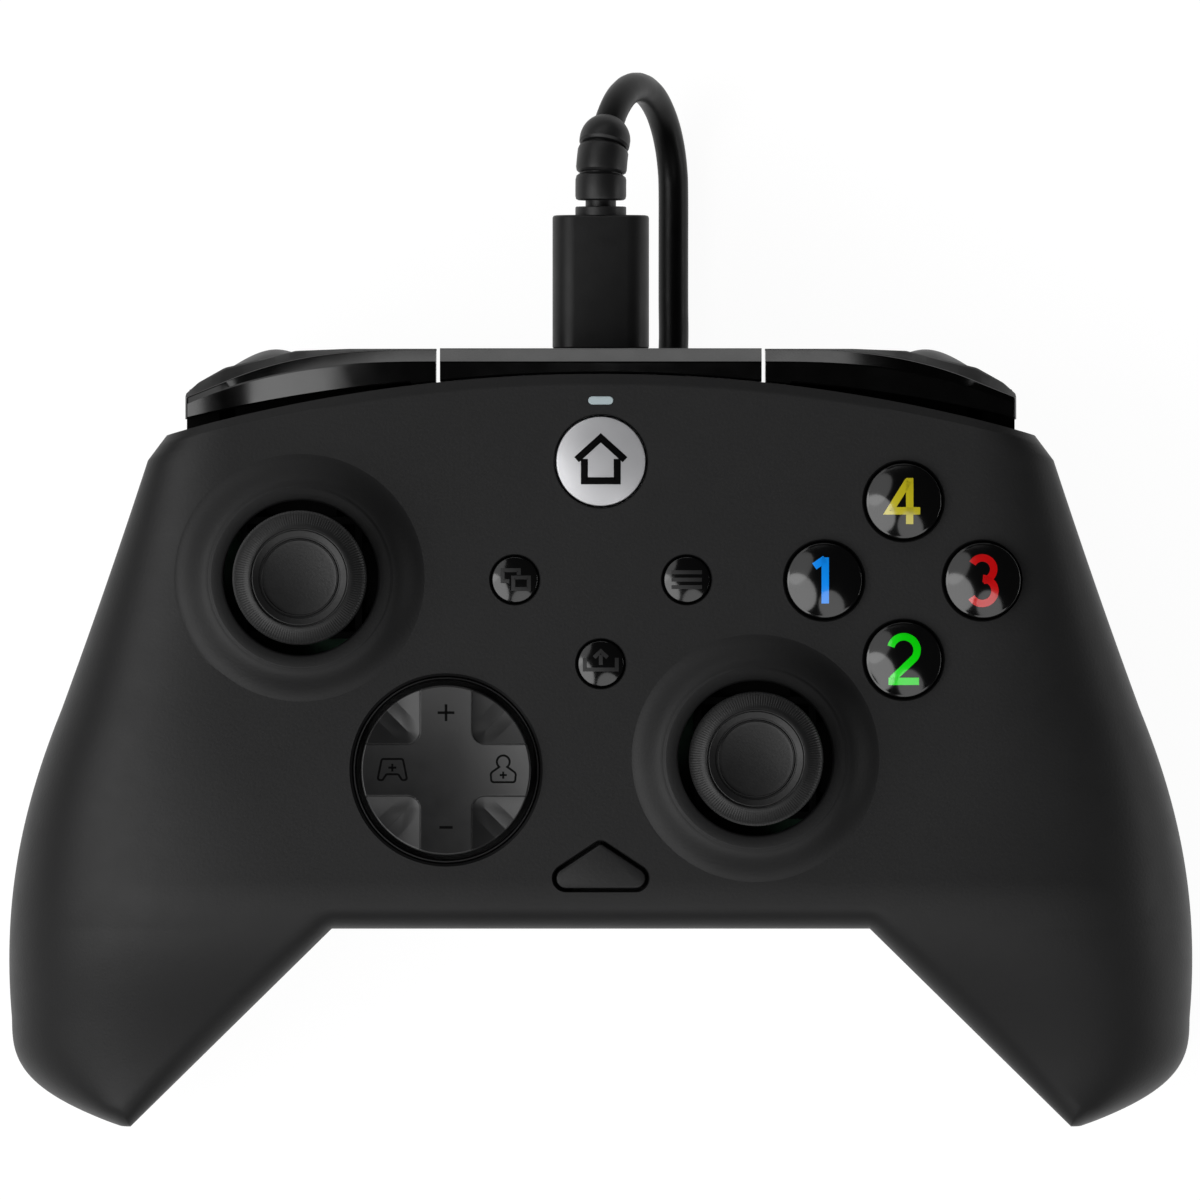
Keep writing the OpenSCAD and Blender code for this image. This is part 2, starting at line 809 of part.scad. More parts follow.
module main_board() {
    color(board_green)
        difference() {
            translate([0, 0, board_top - board_t])
                linear_extrude(board_t)
                    polygon([
                        [-board_half, board_rear], [board_half, board_rear], [board_half, board_edge],
                        [board_tongue[0], board_edge], board_tongue, [-board_tongue[0], board_tongue[1]],
                        [-board_tongue[0], board_edge], [-board_half, board_edge]
                    ]);
            both_sides()
                for (p = board_posts)
                    at(p, board_top - board_t - through)
                        cylinder(d = board_screw_d + 2 * slack, h = board_t + 2 * through);
        }
}

// Posts on the floor of the back shell that carry the boards, and the cradles
// that hold the motors
module back_posts() {
    both_sides() {
        for (p = board_posts)
            at(p, floor_z - through)
                difference() {
                    cylinder(r = board_post_r, h = board_top - board_t - floor_z + through);
                    translate([0, 0, board_top - board_t - floor_z + through - post_bore])
                        cylinder(d = board_screw_d, h = post_bore + through);
                }
        translate([usb_board_half - 2, usb_board_y[0] + 2, floor_z - through])
            cylinder(r = 1.6, h = usb_board_z - floor_z + through);
        difference() {
            translate([motor_at[0] - cradle_half, cradle_y[0], motor_at[1] - motor_r - cradle_low])
                cube([2 * cradle_half, cradle_y[1] - cradle_y[0], cradle_t]);
            translate([motor_at[0], cradle_y[0] - through, motor_at[1]])
                rotate([-90, 0, 0])
                    cylinder(r = motor_r + 0.05, h = 4 * motor_r);
        }
    }
}
post_bore = 8;

module board_screws() {
    color(steel)
        both_sides()
            for (p = board_posts)
                at(p, board_top)
                    union() {
                        cylinder(d = 3.6, h = 1.2);
                        translate([0, 0, -6])
                            cylinder(d = board_screw_d - 2 * pin_fit, h = 6.1);
                    }
}

module housing_screws() {
    color(steel)
        both_sides()
            for (k = [0, 1])
                at(screw_spots[k], screw_seat[k] - head_h)
                    union() {
                        cylinder(d = screw_head_d, h = head_h);
                        cylinder(d = screw_d - 2 * pin_fit, h = screw_top[k] - screw_seat[k] + head_h);
                    }
}

module usb_board() {
    color(board_green)
        translate([-usb_board_half, usb_board_y[0], usb_board_z])
            cube([2 * usb_board_half, usb_board_y[1] - usb_board_y[0], board_t]);
}

module usb_socket() {
    color(steel)
        translate([0, socket_y[1], port_z])
            rotate([90, 0, 0])
                difference() {
                    pill(socket_w, socket_h, socket_y[1] - socket_y[0]);
                    translate([0, 0, -through])
                        pill(socket_w - 2 * socket_wall, socket_h - 2 * socket_wall,
                            socket_y[1] - socket_y[0] - 1 + through);
                }
}

jack_depth = 14;
module headset_jack() {
    color(dark_grey)
        difference() {
            union() {
                translate([-3.5, rear_y + wall + slack, jack_z - 3.4])
                    cube([7, jack_depth, board_top - board_t - jack_z + 3.4]);
                translate([0, rear_y, jack_z])
                    rotate([-90, 0, 0])
                        cylinder(d = jack_shell_d, h = wall + 1);
            }
            translate([0, rear_y - through, jack_z])
                rotate([-90, 0, 0])
                    cylinder(d = jack_d, h = jack_depth + through);
        }
}

// Stick mechanism, drawn about its pivot: a lower yoke rocks about Y in the
// housing, the post rocks about X in the yoke, and an upper hoop follows the post
housing_half = 7.8;
housing_wall = 0.9;
housing_rise = 3.2;
stub_r = 1.2;
yoke_x = 3.5;
yoke_y = 6;
yoke_z = 1.5;
slot_half = post_d / 2 + 0.15;
cross_r = 0.7;
hoop_in = 5;
hoop_out = 6.2;
hoop_half = 3;
click = 0.6;
dome_in = norm([hoop_out + click + slack, hoop_half]);
dome_out = dome_in + 1.3;
dome_angle = 38;
stem_r = 2.6;
post_end = 15;
cap_under = face_z + cap_rise - 3.2 - pivot_z;
cap_top = face_z + cap_rise - pivot_z;

module rod_x(r, half) {
    translate([-half, 0, 0])
        rotate([0, 90, 0])
            cylinder(r = r, h = 2 * half);
}

module rod_y(r, half) {
    translate([0, half, 0])
        rotate([90, 0, 0])
            cylinder(r = r, h = 2 * half);
}

module stick_housing() {
    depth = pivot_z - board_top;
    inside = housing_half - housing_wall;
    color(steel)
        difference() {
            translate([-housing_half, -housing_half, -depth])
                cube([2 * housing_half, 2 * housing_half, depth + housing_rise]);
            translate([-inside, -inside, -depth + housing_wall])
                cube([2 * inside, 2 * inside, depth + housing_rise]);
            rod_x(stub_r + pin_fit, housing_half + through);
            rod_y(stub_r + pin_fit, housing_half + through);
        }
}

module tilt_yoke() {
    color(dark_grey)
        difference() {
            union() {
                cube([2 * yoke_x, 2 * yoke_y, 2 * yoke_z], center = true);
                rod_y(stub_r, housing_half);
            }
            cube([2 * slot_half, 2 * hoop_half, 4 * yoke_z], center = true);
            rod_x(cross_r + pin_fit, yoke_x + through);
        }
}

module stick_post() {
    color(dark_grey)
        union() {
            translate([0, 0, -yoke_z])
                cylinder(d = post_d, h = post_end + yoke_z);
            rod_x(cross_r, yoke_x);
        }
}

module rocker_yoke() {
    color(steel)
        difference() {
            union() {
                intersection() {
                    difference() {
                        rod_y(hoop_out, hoop_half);
                        rod_y(hoop_in, hoop_half + through);
                    }
                    translate([-hoop_out, -hoop_half, -stub_r])
                        cube([2 * hoop_out, 2 * hoop_half, 2 * hoop_out]);
                }
                difference() {
                    rod_x(stub_r, housing_half);
                    rod_y(hoop_in + 0.2, hoop_half + through);
                }
            }
            translate([-4.4, -slot_half, 0])
                cube([8.8, 2 * slot_half, 2 * hoop_out]);
        }
}

module thumb_cap() {
    rim = cap_d / 2;
    dome = concat(
        [for (k = [0 : 8]) let (a = dome_angle * k / 8) [dome_out * sin(a), dome_out * cos(a)]],
        [for (k = [8 : -1 : 0]) let (a = dome_angle * k / 8) [dome_in * sin(a), dome_in * cos(a)]]);
    dish = [for (k = [0 : 4]) let (u = k / 4) [4.8 * (1 - u), cap_top - 0.9 - 0.5 * sin(90 * u)]];
    color(matte_black)
        difference() {
            union() {
                rotate_extrude()
                    polygon(dome);
                translate([0, 0, dome_in + 0.6])
                    cylinder(r = stem_r, h = cap_under - dome_in);
                rotate_extrude()
                    polygon(concat(
                        [[0, cap_under], [rim - 1, cap_under], [rim, cap_under + 1], [rim, cap_top - 1.2],
                         [7.4, cap_top - 0.45], [6.4, cap_top], [6.1, cap_top - 0.2], [5.2, cap_top - 0.6]],
                        dish));
            }
            cylinder(d = post_d + 0.1, h = post_end + click + slack);
        }
}

module stick_sensors() {
    color(dark_grey)
        for (a = [0, 90])
            rotate([0, 0, a])
                translate([housing_half + 0.1, -4.5, board_top - pivot_z])
                    cube([3, 9, pivot_z - board_top + 2]);
}

module left_stick_housing() { at(left_stick, pivot_z) stick_housing(); }
module left_tilt_yoke() { at(left_stick, pivot_z) tilt_yoke(); }
module left_stick_post() { at(left_stick, pivot_z) stick_post(); }
module left_rocker_yoke() { at(left_stick, pivot_z) rocker_yoke(); }
module left_thumb_cap() { at(left_stick, pivot_z) thumb_cap(); }
module left_stick_sensors() { at(left_stick, pivot_z) stick_sensors(); }
module right_stick_housing() { at(right_stick, pivot_z) stick_housing(); }
module right_tilt_yoke() { at(right_stick, pivot_z) tilt_yoke(); }
module right_stick_post() { at(right_stick, pivot_z) stick_post(); }
module right_rocker_yoke() { at(right_stick, pivot_z) rocker_yoke(); }
module right_thumb_cap() { at(right_stick, pivot_z) thumb_cap(); }
module right_stick_sensors() { at(right_stick, pivot_z) stick_sensors(); }

// Direction disc on a two-axis pivot
disc_pivot_z = 43;
disc_post_r = 1.6;
disc_pin_r = 0.6;
ring_in = 2.1;
ring_out = 3.6;
hub_in = 4.2;
hub_out = 5.6;
disc_flange_r = disc_d / 2 + 2.3;
disc_flange_z = 44;
disc_edge_z = face_z + 0.6;
cross_top = face_z + 2;
disc_web_z = face_z - 2.8;

module direction_disc() {
    r = disc_d / 2;
    // The quarters between the arms rise from the rim toward the middle
    quarters = [for (k = [0 : 4]) let (u = k / 4) [(r - 1) * (1 - u), disc_edge_z + 0.8 * sin(90 * u)]];
    color(dark_grey)
        at(disc_at, 0)
            difference() {
                union() {
                    rotate_extrude()
                        polygon(concat(
                            [[0, disc_web_z], [hub_in, disc_web_z], [hub_in, disc_pivot_z - 1],
                             [hub_out, disc_pivot_z - 1], [hub_out, disc_flange_z],
                             [disc_flange_r, disc_flange_z], [disc_flange_r, disc_flange_z + 1.2],
                             [r, disc_flange_z + 1.2], [r, disc_edge_z - 0.6]],
                            quarters));
                    intersection() {
                        union() {
                            for (a = [0, 90])
                                rotate([0, 0, a])
                                    translate([-arm_w / 2, -r, disc_web_z])
                                        cube([arm_w, 2 * r, cross_top - disc_web_z]);
                        }
                        translate([0, 0, disc_web_z - through])
                            cylinder(r = r - 0.5, h = cross_top - disc_web_z + 2 * through);
                    }
                }
                translate([0, 0, disc_pivot_z])
                    rod_y(disc_pin_r + pin_fit, hub_out + through);
            }
}

module disc_pivot() {
    color(dark_grey)
        at(disc_at, disc_pivot_z)
            difference() {
                union() {
                    translate([0, 0, -1])
                        difference() {
                            cylinder(r = ring_out, h = 2);
                            translate([0, 0, -through])
                                cylinder(r = ring_in, h = 2 + 2 * through);
                        }
                    difference() {
                        rod_y(disc_pin_r, hub_out);
                        translate([0, 0, -1])
                            cylinder(r = ring_in + 0.2, h = 2);
                    }
                }
                rod_x(disc_pin_r + pin_fit, ring_out + through);
            }
}

module disc_post() {
    color(steel)
        at(disc_at, 0)
            union() {
                translate([0, 0, board_top])
                    cylinder(r = disc_post_r, h = disc_pivot_z + 1 - board_top);
                translate([0, 0, disc_pivot_z])
                    rod_x(disc_pin_r, ring_out);
            }
}

module disc_membrane() {
    color(rubber_grey)
        at(disc_at, board_top)
            difference() {
                union() {
                    cylinder(r = disc_d / 2 + 1, h = 1.2);
                    for (a = [0 : 90 : 270])
                        rotate([0, 0, a])
                            translate([disc_d / 2 - 2.9, 0, 0])
                                cylinder(r1 = 2.8, r2 = 2, h = 5.2);
                }
                translate([0, 0, -through])
                    cylinder(r = hub_in, h = 4);
            }
}

// Push buttons: a cap in its hole and a flange under the face
flange_z = 44.6;
flange_t = 1.2;
flange_w = 1;

module push_button(d, rise, crown) {
    cap_h = face_z + rise - flange_z;
    rotate_extrude()
        polygon(concat(
            [[0, 0], [d / 2 + flange_w, 0], [d / 2 + flange_w, flange_t], [d / 2, flange_t]],
            [for (k = [0 : 6]) let (u = k / 6) [d / 2 * cos(90 * u), cap_h - crown + crown * sin(90 * u)]]));
}

module face_button(k) {
    color(gloss_black)
        at(button_spots[k], flange_z)
            push_button(button_d, button_rise, 1.6);
}

module face_button_top() { face_button(0); }
module face_button_left() { face_button(1); }
module face_button_right() { face_button(2); }
module face_button_bottom() { face_button(3); }

module face_membrane() {
    color(rubber_grey)
        union() {
            at([diamond_x, diamond_y], board_top)
                cylinder(r = button_reach + 2, h = 1);
            for (s = button_spots)
                at(s, board_top)
                    cylinder(r1 = 4, r2 = 3, h = flange_z - button_travel - slack - board_top);
        }
}

module home_button() {
    color(silver)
        at(home_spot, flange_z)
            push_button(home_d, 1.1, 0.7);
}

module small_button(k) {
    color(gloss_black)
        at(small_spots[k], flange_z)
            push_button(small_d, 0.8, 0.5);
}

module view_button() { small_button(0); }
module menu_button() { small_button(1); }
module share_button() { small_button(2); }

module function_button() {
    color(matte_black)
        translate([0, function_y, flange_z])
            union() {
                linear_extrude(flange_t)
                    polygon(pentagon(function_w, function_h, flange_w));
                linear_extrude(face_z + 0.5 - flange_z)
                    polygon(pentagon(function_w, function_h, 0));
            }
}

module button_switches() {
    plunger_z = flange_z - small_travel - slack;
    color(dark_grey)
        for (s = concat(small_spots, [home_spot, [0, function_y]]))
            at(s, board_top)
                union() {
                    translate([-3, -3, 0])
                        cube([6, 6, 3.4]);
                    cylinder(d = 3, h = plunger_z - board_top);
                }
}

module status_light() {
    color([0.9, 0.95, 0.95])
        translate([0, light_y, inner_top - 1])
            union() {
                pill(light_w - 0.2, light_t - 0.2, wall + 1.1);
                translate([0, -0.8, 0])
                    pill(light_w + 2, light_t + 1, 0.9);
            }
}

module rumble_motor() {
    color(steel)
        translate([motor_at[0], motor_y[1], motor_at[1]])
            rotate([90, 0, 0])
                union() {
                    cylinder(r = motor_r, h = motor_y[1] - motor_y[0]);
                    cylinder(r = shaft_r, h = motor_y[1] - shaft_end);
                }
}

module rumble_weight() {
    start = motor_y[0] - 1;
    color(steel)
        translate([motor_at[0], start, motor_at[1]])
            rotate([90, 0, 0])
                difference() {
                    union() {
                        cylinder(r = 2, h = start - shaft_end - 0.5);
                        intersection() {
                            cylinder(r = motor_r - 0.4, h = start - shaft_end - 0.5);
                            translate([-motor_r, -motor_r, 0])
                                cube([2 * motor_r, motor_r, start - shaft_end]);
                        }
                    }
                    translate([0, 0, -through])
                        cylinder(r = shaft_r + pin_fit, h = start - shaft_end + 2 * through);
                }
}

module left_rumble_motor() { mirror([1, 0, 0]) rumble_motor(); }
module right_rumble_motor() { rumble_motor(); }
module left_rumble_weight() { mirror([1, 0, 0]) rumble_weight(); }
module right_rumble_weight() { rumble_weight(); }

// Cable: plug, ribbed relief, a drop loop, a run under the front edge, a coil
// of four layers under the belly and a tail to the far plug
loop_y = 71.4;
lay_z = 2.1;
lay_x = 9.5;
relief_angle = 38;
loop_mid = [lay_x / 2, loop_y, (port_z + lay_z) / 2];
loop_out = [lay_x / 2, 0, (lay_z - port_z) / 2];
loop_r = norm(loop_out);
function loop_point(a) = loop_mid - loop_out * cos(a) + [0, loop_r * sin(a), 0];

// Coil: radius at the outside, pitch, turns in a layer, and where it starts
coil_mid = [0, 5.5];
coil_z = 2.9;
coil_r = 27.4;
coil_pitch = 4.35;
coil_turns = 4.104;
coil_start = 60;
coil_climb = 0.5;
coil_swell = 0.9;
coil_rings = 24;
layer_turns = coil_turns + coil_climb;
coil_total = 4 * coil_turns + 3 * coil_climb;
coil_inner = coil_r - coil_pitch * coil_turns;

// Radius and height of the coil after t turns
function coil_radius(t) =
    let (layer = min(3, floor(t / layer_turns)), u = t - layer * layer_turns, inward = layer % 2 == 0)
    u <= coil_turns ? (inward ? coil_r - coil_pitch * u : coil_inner + coil_pitch * u)
    : (inward ? coil_inner - coil_swell * sin(180 * (u - coil_turns) / coil_climb)
        : coil_r + coil_swell * sin(180 * (u - coil_turns) / coil_climb));
function coil_height(t) =
    let (layer = min(3, floor(t / layer_turns)), u = t - layer * layer_turns)
    coil_z + coil_pitch * (layer + (u <= coil_turns ? 0 : ease((u - coil_turns) / coil_climb)));
function coil_point(t) =
    let (a = coil_start - 360 * t, r = coil_radius(t))
    [coil_mid[0] + r * cos(a), coil_mid[1] + r * sin(a), coil_height(t)];
function coil_heading(t) = let (a = coil_start - 360 * t) [sin(a), -cos(a), 0];
coil_in = coil_point(0) - cable_d * coil_heading(0);
coil_out = coil_point(coil_total) + cable_d * coil_heading(coil_total);

// Hand-laid points of the run and the tail
run_points = [
    [9.5, 64, 2.1], [9.5, 57, 2.1], [9.5, 51, 2.1], [9, 46.5, 2.1], [7.4, 42.6, 2.1], [5.7, 39.4, 2.1],
    [4.9, 36.6, 2.2], [5.6, 34.2, 2.5], [7, 33, 2.8]
];
tail_points = [
    [12, 32.7, 15.4], [19.5, 31.4, 11.6], [26, 29.8, 7.6], [31.5, 28.9, 5.2], [35.6, 27.8, 4.5],
    [38.4, 25.9, 4.5], [40.3, 23, 4.5], [41, 19.5, 4.5]
];

function unit(v) = v / norm(v);
function heading(p, k) = unit(p[min(k + 1, len(p) - 1)] - p[max(k - 1, 0)]);
function loop_heading(a) = unit(loop_out * sin(a) + [0, loop_r * cos(a), 0]);
function tube_ring(c, t, side, r, n) =
    let (a = unit(side - t * (side * t)), b = cross(t, a))
    [for (k = [0 : n - 1]) c + r * (cos(360 * k / n) * a + sin(360 * k / n) * b)];
function tube_faces(rings, n) =
    concat(
        [for (j = [0 : rings - 2]) for (k = [0 : n - 1])
            for (f = quad(j * n + k, (j + 1) * n + k, (j + 1) * n + (k + 1) % n, j * n + (k + 1) % n)) f],
        [for (k = [1 : n - 2]) [0, k, k + 1]],
        [for (k = [1 : n - 2]) let (e = (rings - 1) * n) [e, e + k + 1, e + k]]);

// Closed tube along points, with a radius at each; first and last turn its end
// faces, which are otherwise square to the path
module tube(points, radii, n, side, first = undef, last = undef) {
    end = len(points) - 1;
    turns = [for (j = [0 : end])
        j == 0 && !is_undef(first) ? first : j == end && !is_undef(last) ? last : heading(points, j)];
    polyhedron(
        [for (j = [0 : end]) for (p = tube_ring(points[j], turns[j], side, radii[j], n)) p],
        tube_faces(len(points), n));
}

loop_side = unit(cross(loop_out, [0, 1, 0]));
cable_sides = 8;

module rounded_slab(w, h, r, depth) {
    linear_extrude(depth)
        union() {
            square([w - 2 * r, h], center = true);
            square([w, h - 2 * r], center = true);
            for (x = [-1, 1])
                for (z = [-1, 1])
                    translate([x * (w / 2 - r), z * (h / 2 - r)])
                        circle(r = r);
        }
}

plug_h = 6.8;
plug_round = 3;
plug_back = gloss_y + 0.2;
tongue_y = 42;
tongue_fit = 0.2;
module cable_plug() {
    tongue_w = socket_w - 2 * socket_wall - tongue_fit;
    tongue_h = socket_h - 2 * socket_wall - tongue_fit;
    color(dark_grey)
        union() {
            translate([0, plug_y, port_z])
                rotate([90, 0, 0])
                    rounded_slab(plug_w, plug_h, plug_round, plug_y - plug_back);
            translate([0, plug_back + 0.1, port_z])
                rotate([90, 0, 0])
                    pill(tongue_w, tongue_h, plug_back + 0.1 - tongue_y);
        }
}

// Relief: moulded collars on a core, a straight start and then a bend. Each row
// is the distance from the plug and the radius there
relief_r = 3.35;
relief_end_r = 2.3;
relief_notch = 0.5;
relief_straight = loop_y - plug_y;
relief_length = relief_straight + loop_r * relief_angle * PI / 180;
relief_profile = [
    [0, relief_r], [1.1, relief_r], [1.15, cable_d / 2], [1.95, cable_d / 2], [2, relief_r], [3.6, relief_r],
    [5.2, relief_r], [5.35, relief_r - relief_notch], [5.5, relief_r], [7.2, relief_r], [8.8, relief_r],
    [8.95, relief_r - relief_notch], [9.1, relief_r], [10.6, relief_r - 0.05], [11.7, relief_r - 0.4],
    [relief_length, relief_end_r]
];
relief_sides = 12;
function relief_point(s) =
    s <= relief_straight ? [0, plug_y + s, port_z] : loop_point((s - relief_straight) / loop_r * 180 / PI);
module strain_relief() {
    color(dark_grey)
        tube(
            [for (p = relief_profile) relief_point(p[0])], [for (p = relief_profile) p[1]], relief_sides,
            loop_side, [0, 1, 0], loop_heading(relief_angle));
}

module cable_run() {
    arc = [for (k = [0 : 12]) loop_point(mix(relief_angle, 180, k / 12))];
    lead = coil_in - 1.6 * coil_heading(0);
    points = concat(arc, run_points, [lead, coil_in]);
    color(cable_black)
        tube(points, [for (p = points) cable_d / 2], cable_sides, loop_side, loop_heading(relief_angle));
}

coil_steps = round(coil_total * coil_rings);
coil_points = concat(
    [coil_in],
    [for (k = [0 : coil_steps]) coil_point(coil_total * k / coil_steps)],
    [coil_out]);
// Least distance between parts of the coil that lie more than half a turn apart
function coil_gap() =
    min([for (i = [0 : len(coil_points) - 1])
        for (j = [i + coil_rings / 2 : len(coil_points) - 1])
            norm(coil_points[i] - coil_points[j])]) - cable_d;

module cable_coil() {
    echo("least gap in the coil", coil_gap());
    color(cable_black)
        tube(coil_points, [for (p = coil_points) cable_d / 2], 6, [0, 0, 1]);
}

module cable_tail() {
    points = concat([coil_out, coil_out + 2 * coil_heading(coil_total)], tail_points);
    color(cable_black)
        tube(points, [for (p = points) cable_d / 2], cable_sides, [0, 0, 1], last = [0, -1, 0]);
}

// Tie: a thin strap that goes once round all the turns of the coil
tie_turn = -30;
tie_w = 4;
tie_t = 0.5;
tie_round = 2;
tie_reach = [6.4, 29.7];
tie_rise = [0.75, 18];
module tie_outline(grow) {
    translate([tie_reach[0], tie_rise[0]])
        offset(r = tie_round + grow)
            offset(delta = -tie_round)
                square([tie_reach[1] - tie_reach[0], tie_rise[1] - tie_rise[0]]);
}

module cable_tie() {
    color(cable_black)
        translate([coil_mid[0], coil_mid[1], 0])
            rotate([0, 0, tie_turn])
                rotate([90, 0, 0])
                    translate([0, 0, -tie_w / 2])
                        linear_extrude(tie_w)
                            difference() {
                                tie_outline(tie_t);
                                tie_outline(0);
                            }
}

// Far plug, lying on the table beside the coil
far_plug_end = tail_points[len(tail_points) - 1];
far_neck = 4.5;
far_grip = [12.4, 20, 7.6];
far_metal = [12, 18.5, 4.5];
module far_plug() {
    color(dark_grey)
        translate(far_plug_end)
            rotate([90, 0, 0])
                union() {
                    cylinder(d1 = cable_d + 1, d2 = cable_d + 2.6, h = far_neck);
                    translate([0, 0, far_neck - 0.1])
                        rounded_slab(far_grip[0], far_grip[2], 1.6, far_grip[1]);
                    translate([0, 0, far_neck + far_grip[1] - 0.2])
                        rounded_slab(far_metal[0], far_metal[2], 0.4, far_metal[1]);
                }
}

front_shell();
back_shell();
mid_frame();
front_bridge();
left_bumper();
right_bumper();
bumper_pins();
bumper_switches();
left_trigger();
right_trigger();
trigger_pins();
trigger_springs();
main_board();
usb_board();
usb_socket();
headset_jack();
left_stick_housing();
left_tilt_yoke();
left_stick_post();
left_rocker_yoke();
left_thumb_cap();
left_stick_sensors();
right_stick_housing();
right_tilt_yoke();
right_stick_post();
right_rocker_yoke();
right_thumb_cap();
right_stick_sensors();
direction_disc();
disc_pivot();
disc_post();
disc_membrane();
face_button_top();
face_button_left();
face_button_right();
face_button_bottom();
face_membrane();
home_button();
view_button();
menu_button();
share_button();
function_button();
button_switches();
status_light();
left_rumble_motor();
right_rumble_motor();
left_rumble_weight();
right_rumble_weight();
housing_screws();
board_screws();
cable_plug();
strain_relief();
cable_run();
cable_coil();
cable_tail();
cable_tie();
far_plug();
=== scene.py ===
import json
import math
import bpy
import bmesh
import numpy as np
from mathutils import Matrix, Vector


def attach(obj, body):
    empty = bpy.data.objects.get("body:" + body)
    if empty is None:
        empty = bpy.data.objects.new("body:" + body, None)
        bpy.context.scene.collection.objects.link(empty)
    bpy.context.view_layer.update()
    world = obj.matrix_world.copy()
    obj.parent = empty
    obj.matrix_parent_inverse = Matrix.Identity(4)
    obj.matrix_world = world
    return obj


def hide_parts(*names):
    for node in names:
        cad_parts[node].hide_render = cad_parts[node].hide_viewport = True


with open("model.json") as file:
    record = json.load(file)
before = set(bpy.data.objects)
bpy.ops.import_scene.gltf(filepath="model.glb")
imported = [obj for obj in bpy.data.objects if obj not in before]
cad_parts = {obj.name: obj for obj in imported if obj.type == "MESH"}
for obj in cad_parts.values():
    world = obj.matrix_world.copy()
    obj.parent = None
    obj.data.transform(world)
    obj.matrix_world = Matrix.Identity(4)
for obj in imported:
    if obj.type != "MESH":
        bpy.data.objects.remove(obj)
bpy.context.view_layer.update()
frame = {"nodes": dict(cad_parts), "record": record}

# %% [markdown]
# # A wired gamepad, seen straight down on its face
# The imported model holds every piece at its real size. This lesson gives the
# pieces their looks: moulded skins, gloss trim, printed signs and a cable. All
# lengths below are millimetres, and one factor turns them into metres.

MM = 0.001
scene = bpy.context.scene

# %% [markdown]
# ## Camera
# The photo looks straight down on the face and shows almost no perspective. A
# long lens far above the pad gives the same flat view. The frame is 153.6 mm wide
# at the height of the face.

# %% Camera
FRAME_W = 153.6
FRAME_MID = (-0.1, 18.05)
FACE_Z = 50.0
CAMERA_UP = 2200.0
SENSOR = 36.0
camera_data = bpy.data.cameras.new("camera")
camera_data.sensor_width = SENSOR
camera_data.lens = SENSOR * CAMERA_UP / FRAME_W
camera_data.clip_end = 20
camera = bpy.data.objects.new("camera", camera_data)
camera.location = (FRAME_MID[0] * MM, FRAME_MID[1] * MM, (FACE_Z + CAMERA_UP) * MM)
scene.collection.objects.link(camera)
scene.camera = camera
print("lens in millimetres", round(camera_data.lens, 1))

# %% [markdown]
# ## Meshes from arrays
# Every new piece is a surface over two parameters. The points are worked out as
# whole arrays, and the faces are index arithmetic on the same grid, so no loop
# ever visits a single vertex.

# %% Mesh helpers
def grid_faces(rows, cols, wrap_rows=False, wrap_cols=False, base=0):
    """Quads of a grid: each joins a point to its neighbour in the row, the
    column and across, counted from base and wrapped round where asked."""
    j = np.arange(rows if wrap_rows else rows - 1)
    i = np.arange(cols if wrap_cols else cols - 1)
    j, i = np.meshgrid(j, i, indexing="ij")
    jn, i_next = (j + 1) % rows, (i + 1) % cols
    quads = np.stack([j * cols + i, j * cols + i_next, jn * cols + i_next, jn * cols + i], axis=-1)
    return quads.reshape(-1, 4) + base


def make_piece(name, points, faces, sharp=32.0):
    """A mesh object at the origin from points in millimetres, shaded smooth
    except across edges that turn by more than the angle."""
    mesh = bpy.data.meshes.new(name)
    mesh.from_pydata((np.asarray(points) * MM).tolist(), [], [list(map(int, f)) for f in faces])
    mesh.update()
    piece = bpy.data.objects.new(name, mesh)
    scene.collection.objects.link(piece)
    soften(piece, sharp)
    return piece


def soften(piece, sharp=32.0):
    """Merge doubles, point the faces outwards and mark the sharp edges."""
    work = bmesh.new()
    work.from_mesh(piece.data)
    bmesh.ops.remove_doubles(work, verts=work.verts, dist=1e-7)
    bmesh.ops.dissolve_degenerate(work, edges=work.edges, dist=1e-8)
    bmesh.ops.recalc_face_normals(work, faces=work.faces)
    work.to_mesh(piece.data)
    work.free()
    piece.data.shade_smooth()
    piece.data.set_sharp_from_angle(angle=math.radians(sharp))


def revolve(name, profile, centre, count=96, sharp=32.0, ring=False, ripple=None):
    """Solid of revolution: each point (r, z) of the profile turns about the vertical
    through centre, so x = cx + r cos a and y = cy + r sin a. A ring's profile closes
    on itself; any other starts and ends on the axis. A ripple (size, n) moves each
    point of the profile up and out by size cos(n a)."""
    r, z = np.asarray(profile, float).T
    a = np.linspace(0, 2 * np.pi, count, endpoint=False)[:, None]
    if ripple:
        size, waves = ripple
        r, z = r + size * np.cos(waves * a), z + size * np.cos(waves * a)
    cols = len(profile)
    z = np.broadcast_to(z, (count, cols))
    points = np.stack([centre[0] + r * np.cos(a), centre[1] + r * np.sin(a), z], -1)
    return make_piece(name, points.reshape(-1, 3), grid_faces(count, cols, True, ring), sharp)


def rod(name, r, low, high, spot=(0, 0), count=32):
    """Upright round bar of radius r between two heights."""
    return revolve(name, [(0, low), (r, low), (r, high), (0, high)], spot, count)


def loft(name, rings, sharp=32.0):
    """Closed tube through equal rings of points, with a flat cap on each end."""
    rings = np.asarray(rings, float)
    rows, cols = rings.shape[:2]
    faces = grid_faces(rows, cols, wrap_cols=True).tolist()
    faces += [list(range(cols))[::-1], list(range((rows - 1) * cols, rows * cols))]
    return make_piece(name, rings.reshape(-1, 3), faces, sharp)


